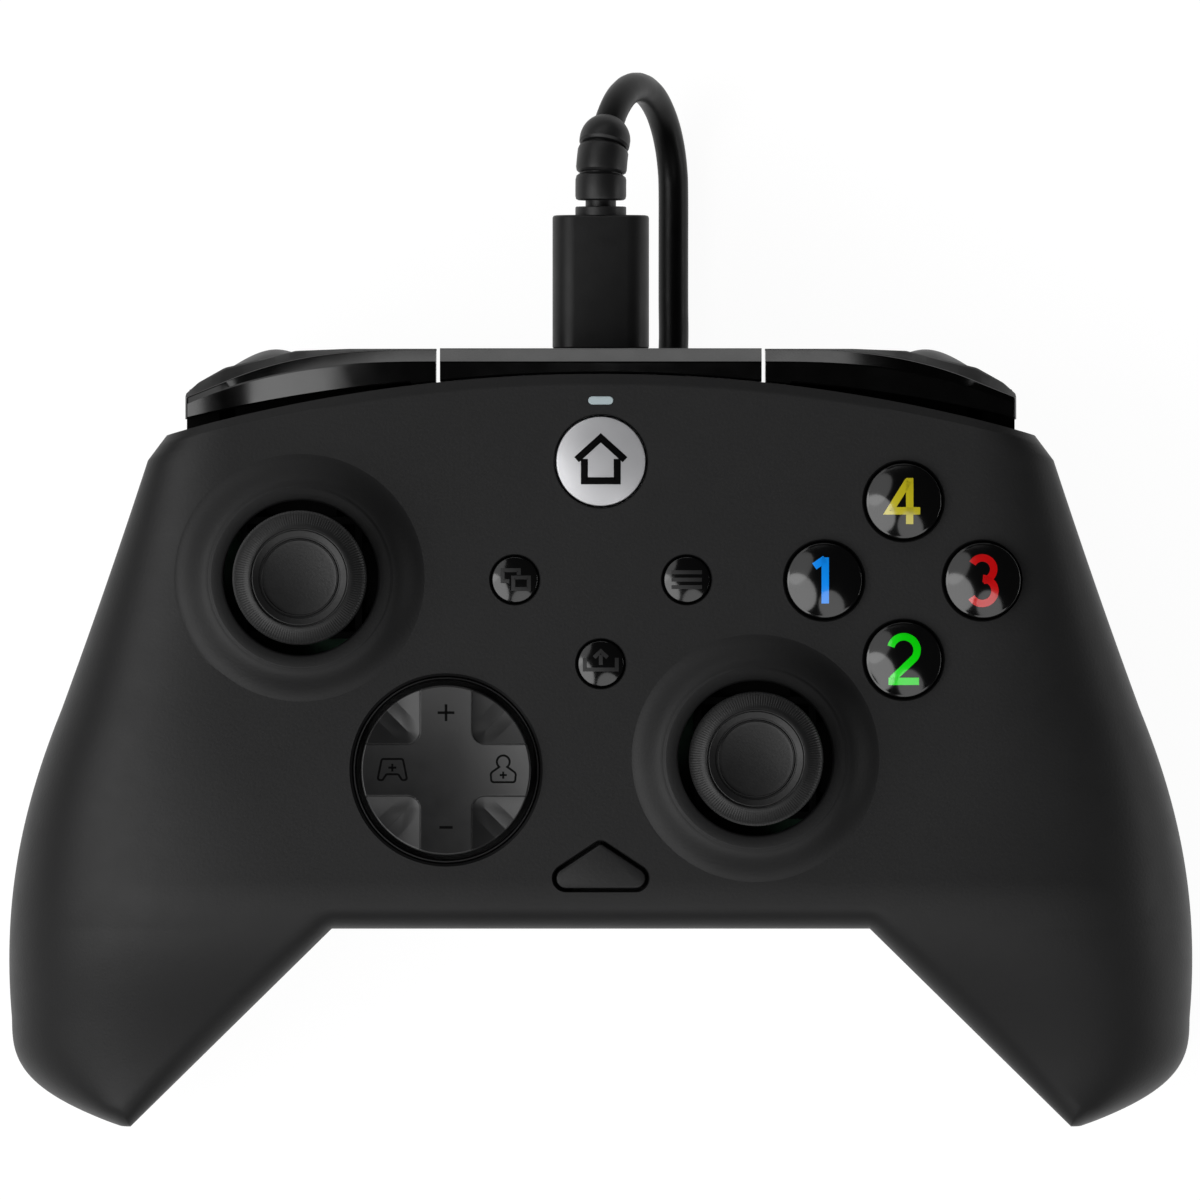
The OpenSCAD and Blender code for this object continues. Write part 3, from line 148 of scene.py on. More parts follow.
def cut(piece, cutters, sharp=32.0, join="DIFFERENCE"):
    """Take the cutters out of the piece, or join them to it, with exact booleans."""
    for cutter in cutters:
        step = piece.modifiers.new("cut", "BOOLEAN")
        step.operation = join
        step.solver = "EXACT"
        step.object = cutter
    shown = piece.evaluated_get(bpy.context.evaluated_depsgraph_get())
    mesh = bpy.data.meshes.new_from_object(shown)
    piece.modifiers.clear()
    piece.data = mesh
    for cutter in cutters:
        bpy.data.objects.remove(cutter)
    soften(piece, sharp)
    return piece


def lay(piece, spot, axis="X"):
    """Turn a piece made upright by a quarter about the axis, then move it to spot."""
    there = Matrix.Translation([v * MM for v in spot])
    piece.data.transform(there @ Matrix.Rotation(np.pi / 2, 4, axis))
    return piece


def mirrored(piece):
    """Put the piece on the other side of the middle plane."""
    piece.data.transform(Matrix.Scale(-1, 4, (1, 0, 0)))
    piece.data.flip_normals()


def mix(a, b, t):
    return a + (b - a) * t


def unit(v):
    """Rows of v, each scaled to length one."""
    return v / np.linalg.norm(v, axis=1, keepdims=True)


def arc(centre, r, start, end, steps=28):
    """Points on a circle from the start angle to the end angle, in degrees."""
    a = np.radians(np.linspace(start, end, steps))
    return np.stack([centre[0] + r * np.cos(a), centre[1] + r * np.sin(a)], -1)


def ease(t):
    """Smooth step: 3 t squared minus 2 t cubed between 0 and 1."""
    t = np.clip(t, 0, 1)
    return t * t * (3 - 2 * t)


def root_curve(s, n):
    """Superellipse: the n-th root of 1 minus s to the n."""
    return np.clip(1 - np.clip(s, 0, 1) ** n, 0, 1) ** (1 / n)


def dress(piece, body, slot, material, *nodes):
    """Put a piece on its body, give it its finish and hide what it stands for."""
    piece.data.materials.clear()
    piece.data.materials.append(material)
    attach(piece, body)
    if nodes:
        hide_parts(*nodes)
    return piece


print("helpers ready")

# %% [markdown]
# ## Finishes
# The pad is almost all black, so the finishes differ by grain and gloss, not by
# colour: spark-eroded matte skins, polished trim, satin caps, rubbery cable. Each
# is a Principled shader whose colour, roughness and bump come from noise in Object
# coordinates, at the size of the real grain.

# %% Finishes
NOISE_LOW, NOISE_HIGH, BUMP_DEPTH, COAT_ROUGH = 0.3, 0.7, 0.04, 0.05


def finish(name, dark, light, rough, grain, bump, patch=60.0, metallic=0.0, coat=0.0, mirror=0.5):
    """Principled finish: large soft noise mixes the dark and light colour, a
    middle noise moves the roughness between its two ends, and a fine noise of the
    grain size in millimetres lifts the surface by up to BUMP_DEPTH."""
    material = bpy.data.materials.new(name)
    material.use_nodes = True
    nodes, links = material.node_tree.nodes, material.node_tree.links
    shader = nodes["Principled BSDF"]
    place = nodes.new("ShaderNodeTexCoord")

    def noise(scale, detail):
        tex = nodes.new("ShaderNodeTexNoise")
        tex.inputs["Scale"].default_value = scale
        tex.inputs["Detail"].default_value = detail
        links.new(place.outputs["Object"], tex.inputs["Vector"])
        return tex

    ramp = nodes.new("ShaderNodeValToRGB")
    stops = zip(ramp.color_ramp.elements, (NOISE_LOW, NOISE_HIGH), (dark, light))
    for stop, position, colour in stops:
        stop.position = position
        stop.color = (*colour, 1)
    links.new(noise(patch, 4).outputs["Fac"], ramp.inputs["Fac"])
    links.new(ramp.outputs["Color"], shader.inputs["Base Color"])
    span = nodes.new("ShaderNodeMapRange")
    ends = ("From Min", NOISE_LOW), ("From Max", NOISE_HIGH), ("To Min", rough[0]), ("To Max", rough[1])
    for end, value in ends:
        span.inputs[end].default_value = value
    links.new(noise(patch * 6, 3).outputs["Fac"], span.inputs["Value"])
    links.new(span.outputs["Result"], shader.inputs["Roughness"])
    lift = nodes.new("ShaderNodeBump")
    lift.inputs["Strength"].default_value = bump
    lift.inputs["Distance"].default_value = BUMP_DEPTH * MM
    links.new(noise(1 / (grain * MM), 2).outputs["Fac"], lift.inputs["Height"])
    links.new(lift.outputs["Normal"], shader.inputs["Normal"])
    shader.inputs["Metallic"].default_value = metallic
    shader.inputs["Specular IOR Level"].default_value = mirror
    shader.inputs["Coat Weight"].default_value = coat
    shader.inputs["Coat Roughness"].default_value = COAT_ROUGH
    return material


def grey(value):
    return (value, value, value * 1.03)


shell_black = finish("shell_black", grey(0.0062), grey(0.0074), (0.5, 0.53), 0.4, 0.5, mirror=0.26)
trim_gloss = finish("trim_gloss", grey(0.0004), grey(0.0006), (0.13, 0.17), 1.2, 0.02)
shade_black = finish("shade_black", grey(0.002), grey(0.003), (0.5, 0.56), 0.5, 0.2, mirror=0.05)
trigger_satin = finish("trigger_satin", grey(0.005), grey(0.006), (0.4, 0.46), 0.5, 0.2, mirror=0.14)
button_gloss = finish("button_gloss", grey(0.002), grey(0.003), (0.1, 0.14), 1.0, 0.015)
cap_rubber = finish("cap_rubber", grey(0.004), grey(0.005), (0.42, 0.48), 0.3, 0.4, mirror=0.34)
disc_satin = finish("disc_satin", grey(0.006), grey(0.008), (0.36, 0.42), 0.5, 0.15, mirror=0.42)
# Near-black for printed signs, and painted shade on the stick parts down in the bores.
ink_and_shade_black = finish("ink_and_shade_black", grey(0.001), grey(0.0015), (0.5, 0.6), 0.5, 0.3, mirror=0.04)
silver_satin = finish("silver_satin", grey(0.42), grey(0.46), (0.34, 0.42), 0.25, 0.1, metallic=0.35)
sign_dark = finish("sign_dark", grey(0.009), grey(0.011), (0.5, 0.6), 0.5, 0.2, mirror=0.3)
light_window = finish("light_window", (0.36, 0.43, 0.45), (0.4, 0.47, 0.49), (0.3, 0.36), 0.5, 0.05)
plug_satin = finish("plug_satin", grey(0.006), grey(0.0075), (0.42, 0.48), 0.5, 0.25, mirror=0.3)
cable_skin = finish("cable_skin", grey(0.002), grey(0.0026), (0.36, 0.44), 0.6, 0.2, mirror=0.16)
steel_plain = finish("steel_plain", grey(0.4), grey(0.5), (0.25, 0.35), 0.3, 0.2, metallic=1.0)
board_mask = finish("board_mask", (0.01, 0.07, 0.03), (0.02, 0.1, 0.05), (0.3, 0.4), 0.6, 0.2)
rubber_grey = finish("rubber_grey", grey(0.12), grey(0.16), (0.5, 0.6), 0.4, 0.3)
inner_plastic = finish("inner_plastic", grey(0.02), grey(0.03), (0.4, 0.5), 0.4, 0.3)
print("finishes", len(bpy.data.materials))

# %% [markdown]
# ## Finishes of the pieces that stay as they are
# Boards, pins, screws and the stick gears keep their imported solids. Each gets the
# finish of its material slot, so nothing on the pad is left a plain colour. The stick
# modules and yokes down in the bores get a near-black instead: painted shade.

# %% Finishes for the imported solids
BY_SLOT = {
    "matte_black": shell_black, "gloss_black": trim_gloss, "dark_plastic": inner_plastic,
    "satin_silver": silver_satin, "steel": steel_plain, "board_green": board_mask,
    "grey_rubber": rubber_grey, "light_window": light_window, "cable_black": cable_skin,
}
slot_of = {p["node"]: p["material_slot"] for p in frame["record"]["subparts"]}
for node_name, node_object in frame["nodes"].items():
    node_object.data.materials.clear()
    # Parts down in the stick bores get the near-black, painted shade in place of their slot's finish.
    deep_in_shade = "_stick_" in node_name or node_name.endswith("_yoke")
    node_object.data.materials.append(ink_and_shade_black if deep_in_shade else BY_SLOT[slot_of[node_name]])
print("packed solids with a finish", len(frame["nodes"]))

# %% [markdown]
# ## Floor, backdrop and light
# The photo has a plain white ground. The floor shows white to the camera and to
# mirror-like surfaces through Light Path, mixed with a little diffuse so that the
# pad keeps a soft shadow. Two oval softboxes high on the left and one behind are
# what the domes mirror, a narrow lamp on the right draws the rims, and a long one
# in front lights the leaning strip of the gloss trim.

# %% Floor and light
FLOOR_HALF, FLOOR_PALE, FLOOR_GLOW, FLOOR_SHARE, WORLD_GLOW = 2500.0, 0.85, 1.06, 0.9, 0.012


def white_floor(name):
    """Mostly white for camera, glossy and transmission rays, pale diffuse for the rest."""
    material = bpy.data.materials.new(name)
    material.use_nodes = True
    nodes, links = material.node_tree.nodes, material.node_tree.links
    nodes.remove(nodes["Principled BSDF"])
    pale = nodes.new("ShaderNodeBsdfDiffuse")
    pale.inputs["Color"].default_value = (FLOOR_PALE, FLOOR_PALE, FLOOR_PALE, 1)
    white = nodes.new("ShaderNodeEmission")
    white.inputs["Color"].default_value = (1, 1, 1, 1)
    white.inputs["Strength"].default_value = FLOOR_GLOW
    path = nodes.new("ShaderNodeLightPath")
    seen = path.outputs["Is Camera Ray"]
    for ray in ("Is Transmission Ray", "Is Glossy Ray"):
        either = nodes.new("ShaderNodeMath")
        either.operation = "MAXIMUM"
        links.new(seen, either.inputs[0])
        links.new(path.outputs[ray], either.inputs[1])
        seen = either.outputs[0]
    share = nodes.new("ShaderNodeMath")
    share.operation = "MULTIPLY"
    share.inputs[1].default_value = FLOOR_SHARE
    links.new(seen, share.inputs[0])
    blend = nodes.new("ShaderNodeMixShader")
    links.new(share.outputs[0], blend.inputs["Fac"])
    links.new(pale.outputs[0], blend.inputs[1])
    links.new(white.outputs[0], blend.inputs[2])
    links.new(blend.outputs[0], nodes["Material Output"].inputs["Surface"])
    return material


floor_corners = np.array([[-1, -1, 0], [1, -1, 0], [1, 1, 0], [-1, 1, 0]]) * FLOOR_HALF
floor = make_piece("floor", floor_corners, [[0, 1, 2, 3]])
floor.data.materials.append(white_floor("floor_white"))


def lamp(name, spot, aim, size, power, shape="ELLIPSE"):
    """Area lamp at spot, turned to face aim, both in millimetres."""
    data = bpy.data.lights.new(name, "AREA")
    data.shape = shape
    data.size, data.size_y = size[0] * MM, size[1] * MM
    data.energy = power
    lit = bpy.data.objects.new(name, data)
    toward = np.asarray(aim, float) - np.asarray(spot, float)
    lit.rotation_euler = Vector(toward).to_track_quat("-Z", "Y").to_euler()
    lit.location = [v * MM for v in spot]
    scene.collection.objects.link(lit)


FACE_MID = (0, 0, FACE_Z)
lamp("left_rear", (-619, -302, 843), FACE_MID, (1150, 930), 10.3)
lamp("left_front", (-597, 344, 843), FACE_MID, (1000, 560), 1.9)
lamp("rear", (220, -620, 843), FACE_MID, (670, 860), 2.9)
lamp("rim", (820, -60, 130), (70, -20, 35), (500, 120), 1.2, "RECTANGLE")
lamp("front", (-300, 880, 580), (0, 50, 48), (1300, 210), 2.3, "RECTANGLE")
world = bpy.data.worlds.new("studio")
world.use_nodes = True
background = world.node_tree.nodes["Background"]
background.inputs["Color"].default_value = (1, 1, 1, 1)
background.inputs["Strength"].default_value = WORLD_GLOW
scene.world = world
scene.view_settings.view_transform = "Standard"

# %% [markdown]
# ## Cable
# The cable leaves the plug, bends down in a half loop, runs under the front edge
# and is wound up below the belly, where the camera doesn't see it. One centreline
# carries it all: a half circle in a slanted plane, listed points and a flat coil
# of four layers whose radius changes by one pitch a turn.

# %% Cable route
CABLE_D = 3.9
PLUG_END = 67.8
LOOP_Y, PORT_Z, LAY_Z, LAY_X = 71.4, 27.0, 2.1, 9.5
loop_mid = np.array([LAY_X / 2, LOOP_Y, (PORT_Z + LAY_Z) / 2])
loop_out = np.array([LAY_X / 2, 0, (LAY_Z - PORT_Z) / 2])
loop_r = float(np.linalg.norm(loop_out))
loop_side = np.cross(loop_out, [0, 1, 0]) / loop_r
RELIEF_TURN = 38.0


def loop_point(a):
    """Half circle: middle minus out cos a plus radius sin a along Y."""
    a = a[:, None]
    return loop_mid - loop_out * np.cos(a) + np.array([0, loop_r, 0]) * np.sin(a)


def through(points, per):
    """Catmull-Rom curve: per points on each stretch between the given ones."""
    p = np.asarray(points, float)
    p = np.vstack([2 * p[0] - p[1], p, 2 * p[-1] - p[-2]])
    t = np.linspace(0, 1, per, endpoint=False)[None, :, None]
    a, b, c, d = (p[k:len(p) - 3 + k, None, :] for k in range(4))
    square, cube = 2 * a - 5 * b + 4 * c - d, 3 * b - a - 3 * c + d
    curve = 0.5 * (2 * b + (c - a) * t + square * t ** 2 + cube * t ** 3)
    return np.vstack([curve.reshape(-1, 3), p[-2]])


COIL_MID, COIL_R, COIL_PITCH, COIL_Z = np.array([0, 5.5]), 27.4, 4.35, 2.9
COIL_TURNS, COIL_CLIMB, COIL_START, COIL_SWELL = 4.104, 0.5, 60.0, 0.9
COIL_TOTAL = 4 * COIL_TURNS + 3 * COIL_CLIMB
COIL_STEPS, STRETCH_STEPS, LOOP_STRETCHES = 36, 4, 18
coil_in_r = COIL_R - COIL_PITCH * COIL_TURNS


def coil_point(t):
    """Flat spiral of four layers: in, out, in, out. A half-turn climb with a
    small swell joins each layer to the next."""
    span = COIL_TURNS + COIL_CLIMB
    layer = np.minimum(3, np.floor(t / span))
    u = t - layer * span
    inward = layer % 2 == 0
    climb = np.clip((u - COIL_TURNS) / COIL_CLIMB, 0, 1)
    swell = COIL_SWELL * np.sin(np.pi * climb)
    flat = np.minimum(u, COIL_TURNS)
    r = np.where(inward, COIL_R - COIL_PITCH * flat - swell, coil_in_r + COIL_PITCH * flat + swell)
    a = np.radians(COIL_START - 360 * t)
    z = COIL_Z + COIL_PITCH * (layer + ease(climb))
    return np.stack([COIL_MID[0] + r * np.cos(a), COIL_MID[1] + r * np.sin(a), z], -1)


def coil_heading(t):
    a = math.radians(COIL_START - 360 * t)
    return np.array([math.sin(a), -math.cos(a), 0])


relief_part = [[0, PLUG_END, PORT_Z], [0, (PLUG_END + LOOP_Y) / 2, PORT_Z]]
loop_part = loop_point(np.radians(np.linspace(0, 180, 15)))
run_part = [[9.5, 64, 2.1], [9.5, 57, 2.1], [9.5, 51, 2.1], [9, 46.5, 2.1], [7.4, 42.6, 2.1],
            [5.7, 39.4, 2.1], [4.9, 36.6, 2.2], [5.6, 34.2, 2.5], [7, 33, 2.8]]
coil_part = coil_point(np.linspace(0, COIL_TOTAL, int(COIL_TOTAL * COIL_STEPS)))
coil_start = coil_part[0] - CABLE_D * coil_heading(0)
coil_end = coil_part[-1] + CABLE_D * coil_heading(COIL_TOTAL)
FAR = (41.0, 19.5, 4.5)
tail_part = [coil_end + 2 * coil_heading(COIL_TOTAL), [12, 32.7, 15.4], [19.5, 31.4, 11.6],
             [26, 29.8, 7.6], [31.5, 28.9, 5.2], [35.6, 27.8, 4.5], [38.4, 25.9, 4.5], [40.3, 23, 4.5], FAR]
head = through(np.vstack([relief_part, loop_part, run_part, [coil_start]]), STRETCH_STEPS)
tail = through(np.vstack([[coil_end], tail_part]), STRETCH_STEPS)
cable_path = np.vstack([head, coil_part, tail])

# %% [markdown]
# ## Sweeping a round section along the route
# Each ring lies square to the route. Its first direction is a reference that stays
# across the route: the normal of the loop's plane at first, then the vertical.

# %% Cable, relief and plugs
def sweep(name, path, radius, reference, sides=18, sharp=50.0):
    """Round tube: ring j is path[j] + radius[j] (a cos w + b sin w), where a is the
    reference without its part along the route and b is the tangent across a."""
    path = np.asarray(path, float)
    tangent = unit(np.gradient(path, axis=0))
    a = unit(reference - tangent * np.sum(reference * tangent, axis=1, keepdims=True))
    b = np.cross(tangent, a)
    w = np.linspace(0, 2 * np.pi, sides, endpoint=False)
    ring = a[:, None, :] * np.cos(w)[None, :, None] + b[:, None, :] * np.sin(w)[None, :, None]
    return loft(name, path[:, None, :] + ring * np.asarray(radius, float).reshape(-1, 1, 1), sharp)


still = STRETCH_STEPS * LOOP_STRETCHES
turn_over = np.concatenate([np.zeros(still), np.linspace(0, 1, len(head) - still),
                            np.ones(len(cable_path) - len(head))])[:, None]
cable_side = mix(loop_side, np.array([0.0, 0, 1]), ease(turn_over))
cable = sweep("cable", cable_path, np.full(len(cable_path), CABLE_D / 2), cable_side)
dress(cable, "housing", "cable_black", cable_skin, "cable_run", "cable_coil", "cable_tail")
print("cable faces", len(cable.data.polygons))


def relief_at(s):
    """Points of the relief's line at the distances s from the plug."""
    start = LOOP_Y - PLUG_END
    bend = loop_point(np.maximum(0, s - start) / loop_r)
    s = s[:, None]
    return np.where(s < start, np.array([0, PLUG_END, PORT_Z]) + s * np.array([0, 1.0, 0]), bend)


relief_end = LOOP_Y - PLUG_END + loop_r * math.radians(RELIEF_TURN)
relief_profile = np.array([
    [0, 0], [0, 3.3], [1.0, 3.3], [1.12, 3.2], [1.15, 1.98], [1.92, 1.98], [1.95, 2.9], [2.1, 3.2],
    [2.5, 3.3], [3.6, 3.3], [4.6, 3.3], [5.0, 3.2], [5.2, 2.95], [5.3, 2.6], [5.42, 2.6], [5.5, 2.95],
    [5.7, 3.2], [6.1, 3.3], [7.2, 3.3], [8.3, 3.3], [8.6, 3.2], [8.8, 2.95], [8.9, 2.6], [9.02, 2.6],
    [9.1, 3.0], [9.35, 3.25], [9.8, 3.3], [10.4, 3.28], [11.0, 3.16], [11.5, 2.95], [11.9, 2.7],
    [12.2, 2.45], [relief_end, 2.2], [relief_end, 2.0]])
relief_s, relief_r = relief_profile.T
relief_side = np.broadcast_to(loop_side, (len(relief_s), 3))
relief_line = relief_at(relief_s + np.linspace(0, 1e-4, len(relief_s)))
relief = sweep("relief", relief_line, np.maximum(relief_r, 0.01), relief_side, 40, 28)
dress(relief, "housing", "dark_plastic", plug_satin, "strain_relief")


def rounded_ring(w, h, r, count=48):
    """Rectangle w by h with corner radius r: each corner's centre plus r (cos, sin)."""
    a = (np.arange(count) + 0.5) * 2 * np.pi / count
    return np.stack([np.sign(np.cos(a)) * (w / 2 - r) + r * np.cos(a),
                     np.sign(np.sin(a)) * (h / 2 - r) + r * np.sin(a)], -1)


def slab(name, size, r, stations, spot):
    """Bar along Y from spot: at each station (y, inset) the rounded rectangle shrinks
    by the inset on every side."""
    rings = []
    for y, inset in stations:
        flat = rounded_ring(size[0] - 2 * inset, size[1] - 2 * inset, max(r - inset, 0.05))
        along = np.full(len(flat), float(spot[1] + y))
        rings.append(np.stack([spot[0] + flat[:, 0], along, spot[2] + flat[:, 1]], -1))
    return loft(name, rings)


PORT = (0, 0, PORT_Z)
plug_ends = [(50.55, 0.3), (50.6, 0.12), (50.75, 0), (67.45, 0), (67.65, 0.08), (67.75, 0.2), (67.8, 0.45)]
plug = slab("plug", (12.5, 6.8), 3.1, plug_ends, PORT)
dress(plug, "housing", "dark_plastic", plug_satin, "cable_plug")
tongue = slab("plug_tongue", (8.3, 2.5), 1.2, [(42, 0.3), (42.2, 0.05), (42.4, 0), (50.7, 0)], PORT)
dress(tongue, "housing", "steel", steel_plain)
grip_ends = [(-4.4, 0.9), (-4.6, 0.4), (-5.2, 0), (-23.6, 0), (-24.2, 0.3), (-24.4, 0.8)]
far_grip = slab("far_grip", (12.4, 7.6), 1.8, grip_ends, FAR)
dress(far_grip, "housing", "dark_plastic", plug_satin, "far_plug")
far_neck = sweep("far_neck", [[FAR[0], FAR[1] - s, FAR[2]] for s in (0, 0.02, 1.5, 3, 4.5)],
                 [2.0, 2.45, 2.7, 2.95, 3.2], np.broadcast_to([0.0, 0, 1], (5, 3)), 32)
dress(far_neck, "housing", "dark_plastic", plug_satin)
far_shell = slab("far_shell", (12, 4.5), 0.4, [(-24.3, 0), (-42.6, 0), (-42.8, 0.1)], FAR)
far_mouth = slab("far_mouth", (11.4, 3.9), 0.2, [(-34, 0), (-44, 0)], FAR)
cut(far_shell, [far_mouth])
dress(far_shell, "housing", "steel", steel_plain)
print("plugs and relief ready")

# %% [markdown]
# ## Outline of the housing
# Both shells share one plan. Rows run from the arched front edge back to the grip
# tips. Columns run from the middle to the sides, and behind the fork they split
# into the two grips. The face rolls over to the seam on a superellipse.

# %% Housing formulas
HALF_W, WALL, FRONT_Y, FRONT_ARC, REAR_Y = 76.5, 2.2, 47.0, 202.0, -24.1
TIP_X, TIP_Y, FORK_X, CORNER_Y = 60.6, -49.8, 34.5, 38.9
ROWS_BODY, ROWS_GRIP, COLS_MID, COLS_SIDE = 10, 7, 5, 7
SEAM_LINE = np.array([[-50, 17], [-40, 20], [-24, 25], [0, 31], [20, 36], [38, 41], [47, 42]], float)
GRIP_LINE = np.array([[-50, 8], [-46, 2], [-43, 0], [-38, 0], [-34, 2], [-24, 9], [-10, 15], [5, 18.5],
                      [30, 21], [47, 22]], float)
BULGE, WIDEST_Y, SHOULDER_Y, SHOULDER_SLOPE, TURN_Y = 0.00588, -29.3, 5.2, 0.364, -36.0
GUIDE_X, GUIDE_SPAN, SEAM_LIFT, LIFT_Y, LIFT_SPAN, SEAM_GAP = 47.0, 28.0, 8.0, 20.0, 44.0, 2.5
FACE_FALL, FALL_Y, FALL_SPAN, BELLY_Z, BELLY_FALL = 12.0, -18.0, 32.0, 19.0, 6.0
ROLL = 2 / 2.6


def bulge_w(y):
    return HALF_W - BULGE * (y - WIDEST_Y) ** 2


def side_w(y):
    """Half width: a straight shoulder, a parabola round the widest place, and a
    cubic turn in to the tip."""
    shoulder = bulge_w(SHOULDER_Y) - SHOULDER_SLOPE * (y - SHOULDER_Y)
    turn = np.clip((TURN_Y - y) / (TURN_Y - TIP_Y), 0, 1) ** 3
    tip = mix(bulge_w(TURN_Y), TIP_X + 2, turn)
    return np.where(y > SHOULDER_Y, shoulder, np.where(y > TURN_Y, bulge_w(y), tip))


def front_edge(x):
    """Circle of radius FRONT_ARC through the middle of the front."""
    return FRONT_Y - FRONT_ARC + np.sqrt(FRONT_ARC ** 2 - np.asarray(x, float) ** 2)


def row_part(v):
    return np.clip(np.where(v < 1, 0.04 * v, mix(0.04, 1, (v - 1) / 9)), 0, 1)


def row_y(v, w):
    body = mix(CORNER_Y - w, REAR_Y + w, row_part(v))
    return np.where(v <= ROWS_BODY, body, mix(REAR_Y + w, TIP_Y + w, (v - ROWS_BODY) / ROWS_GRIP))


def fork_edge(y, w):
    return FORK_X + (REAR_Y - y) * (TIP_X - FORK_X) / (REAR_Y - TIP_Y) + w * math.sqrt(2)


def plan(u, v, w):
    """Plan of a skin w inside the outline: column u, row v to x, y, the way out to
    the side from 0 to 1, and the height of the seam there."""
    y = row_y(v, w)
    guide = np.where(y <= REAR_Y + w, fork_edge(y, w),
                     mix(fork_edge(REAR_Y + w, w), GUIDE_X, ease((y - REAR_Y - w) / GUIDE_SPAN)))
    outer = side_w(y) - w - 1.5 * np.clip(1 - v, 0, 1)
    part = np.clip((np.abs(u) - COLS_MID) / COLS_SIDE, 0, 1)
    out = np.sin(np.pi / 2 * part) ** ROLL
    x = np.sign(u) * np.where(np.abs(u) <= COLS_MID, guide * np.abs(u) / COLS_MID, mix(guide, outer, out))
    y0 = row_y(v, 0)
    arch = np.where(v < ROWS_BODY, (front_edge(x) - CORNER_Y) * (1 - row_part(v)) ** 1.5, 0)
    back = ease((REAR_Y - y0) / (REAR_Y - TIP_Y))
    lift = (1 - part) * SEAM_LIFT * ease((LIFT_Y - y0) / LIFT_SPAN) * (1 - 0.75 * back)
    seam = np.interp(y0, *SEAM_LINE.T) + lift
    return x, y + arch, part, seam


def face_height(u, v, w):
    """Top skin: from the face, which drops towards the grip tips, over the side on
    a superellipse to just above the seam."""
    x, y, part, seam = plan(u, v, w)
    face = FACE_Z - FACE_FALL * ease((FALL_Y - row_y(v, 0)) / FALL_SPAN)
    z = mix(seam + SEAM_GAP, face - w, np.cos(np.pi / 2 * part) ** ROLL)
    return np.stack([x, y, z], -1), seam


def belly_height(u, v, w):
    """Lower skin: flat belly, grips that follow their own line, and a rounded
    square turn up to just below the seam."""
    x, y, part, seam = plan(u, v, w)
    s = np.sin(np.pi / 2 * part) ** ROLL
    y0 = row_y(v, 0)
    inner = BELLY_Z - BELLY_FALL * ease((REAR_Y - y0) / (REAR_Y - TIP_Y))
    low = mix(inner, np.interp(y0, *GRIP_LINE.T), ease(s / 0.4)) + w
    z = seam - SEAM_GAP - (seam - SEAM_GAP - low) * root_curve(s, 4)
    return np.stack([x, y, z], -1), seam


print("front edge at the sides", front_edge(np.array([0, 40, 60])).round(2))

# %% [markdown]
# ## The two shells
# A shell is four surfaces: the outer skin, the inner skin, and a wall from each
# down or up to the seam. The edge of the grid is walked once round, so the walls
# are strips between two copies of that walk. Near the fork and the tips the skin
# is rounded by its distance to the edge.

# %% Shells
SHELL_SHARP, FILLET, BEVEL, BEVEL_ROWS, SEAM_SHIFT = 22.0, 3.0, 0.45, 0.4, 0.1
v_body = np.concatenate([np.linspace(0, 0.4, 5), np.linspace(0.5, 1, 4), np.linspace(1.15, 9, 54),
                         np.linspace(9.08, 10, 18)])
v_grip = np.concatenate([np.linspace(10, 16, 44), np.linspace(16.06, 17, 20)])
u_side = COLS_MID + COLS_SIDE * np.concatenate([np.linspace(0, 0.2, 18) ** 1.4 / 0.2 ** 0.4,
                                                np.linspace(0.22, 1, 40)])
u_half = np.concatenate([np.linspace(0, 4.7, 20), np.linspace(4.76, 5, 5)[:-1], u_side])
u_body = np.concatenate([-u_half[::-1], u_half[1:]])


def skin_grids(height, w):
    """Body and grip grids of one skin, with their seam heights. The rear edge, the
    inner edges and the tips are rounded by FILLET."""
    uu, vv = np.meshgrid(u_body, v_body)
    grids = [height(uu, vv, w)]
    uu, vv = np.meshgrid(u_side, v_grip)
    right, seam = height(uu, vv, w)
    grids += [(right, seam), (right * [-1, 1, 1], seam)]
    last_u, last_v = COLS_MID + COLS_SIDE, ROWS_BODY + ROWS_GRIP
    edge_u = [np.linspace(0, COLS_MID, 60), np.full(120, COLS_MID), np.linspace(COLS_MID, last_u, 120)]
    edge_v = [np.full(60, ROWS_BODY), np.linspace(ROWS_BODY, last_v, 120), np.full(120, last_v)]
    edge = np.stack(plan(np.concatenate(edge_u), np.concatenate(edge_v), w)[:2], -1)
    step = np.diff(edge, axis=0)
    square = np.maximum((step ** 2).sum(-1), 1e-9)
    for grid, _ in grids:
        flat = np.abs(grid[..., :2]) * [1, 0] + grid[..., :2] * [0, 1]
        reach = flat[..., None, :] - edge[:-1]
        along = np.clip((reach * step).sum(-1) / square, 0, 1)
        gap = np.sqrt(((reach - along[..., None] * step) ** 2).sum(-1)).min(-1)
        d = np.clip(FILLET - gap, 0, FILLET)
        turn = FILLET - np.sqrt(np.clip(FILLET ** 2 - d ** 2, 0, None))
        grid[..., 2] -= turn * (1 if height is face_height else -1)
    return grids


def edge_walk(grids, seam_shift):
    """The edge of the skin walked once round, and the same walk at the seam."""
    fork_right, fork_left = np.searchsorted(u_body, COLS_MID), np.searchsorted(u_body, -COLS_MID)

    def walk(body, right, left):
        return np.concatenate([body[0], body[1:, -1], right[1:, -1], right[-1, -2::-1], right[-2::-1, 0],
                               body[-1, fork_right - 1:fork_left:-1], left[:, 0], left[-1, 1:],
                               left[-2::-1, -1], body[-2:0:-1, 0]])

    top = walk(*(grid for grid, _ in grids))
    foot = top.copy()
    foot[:, 2] = walk(*(seam for _, seam in grids)) + seam_shift
    return top, foot


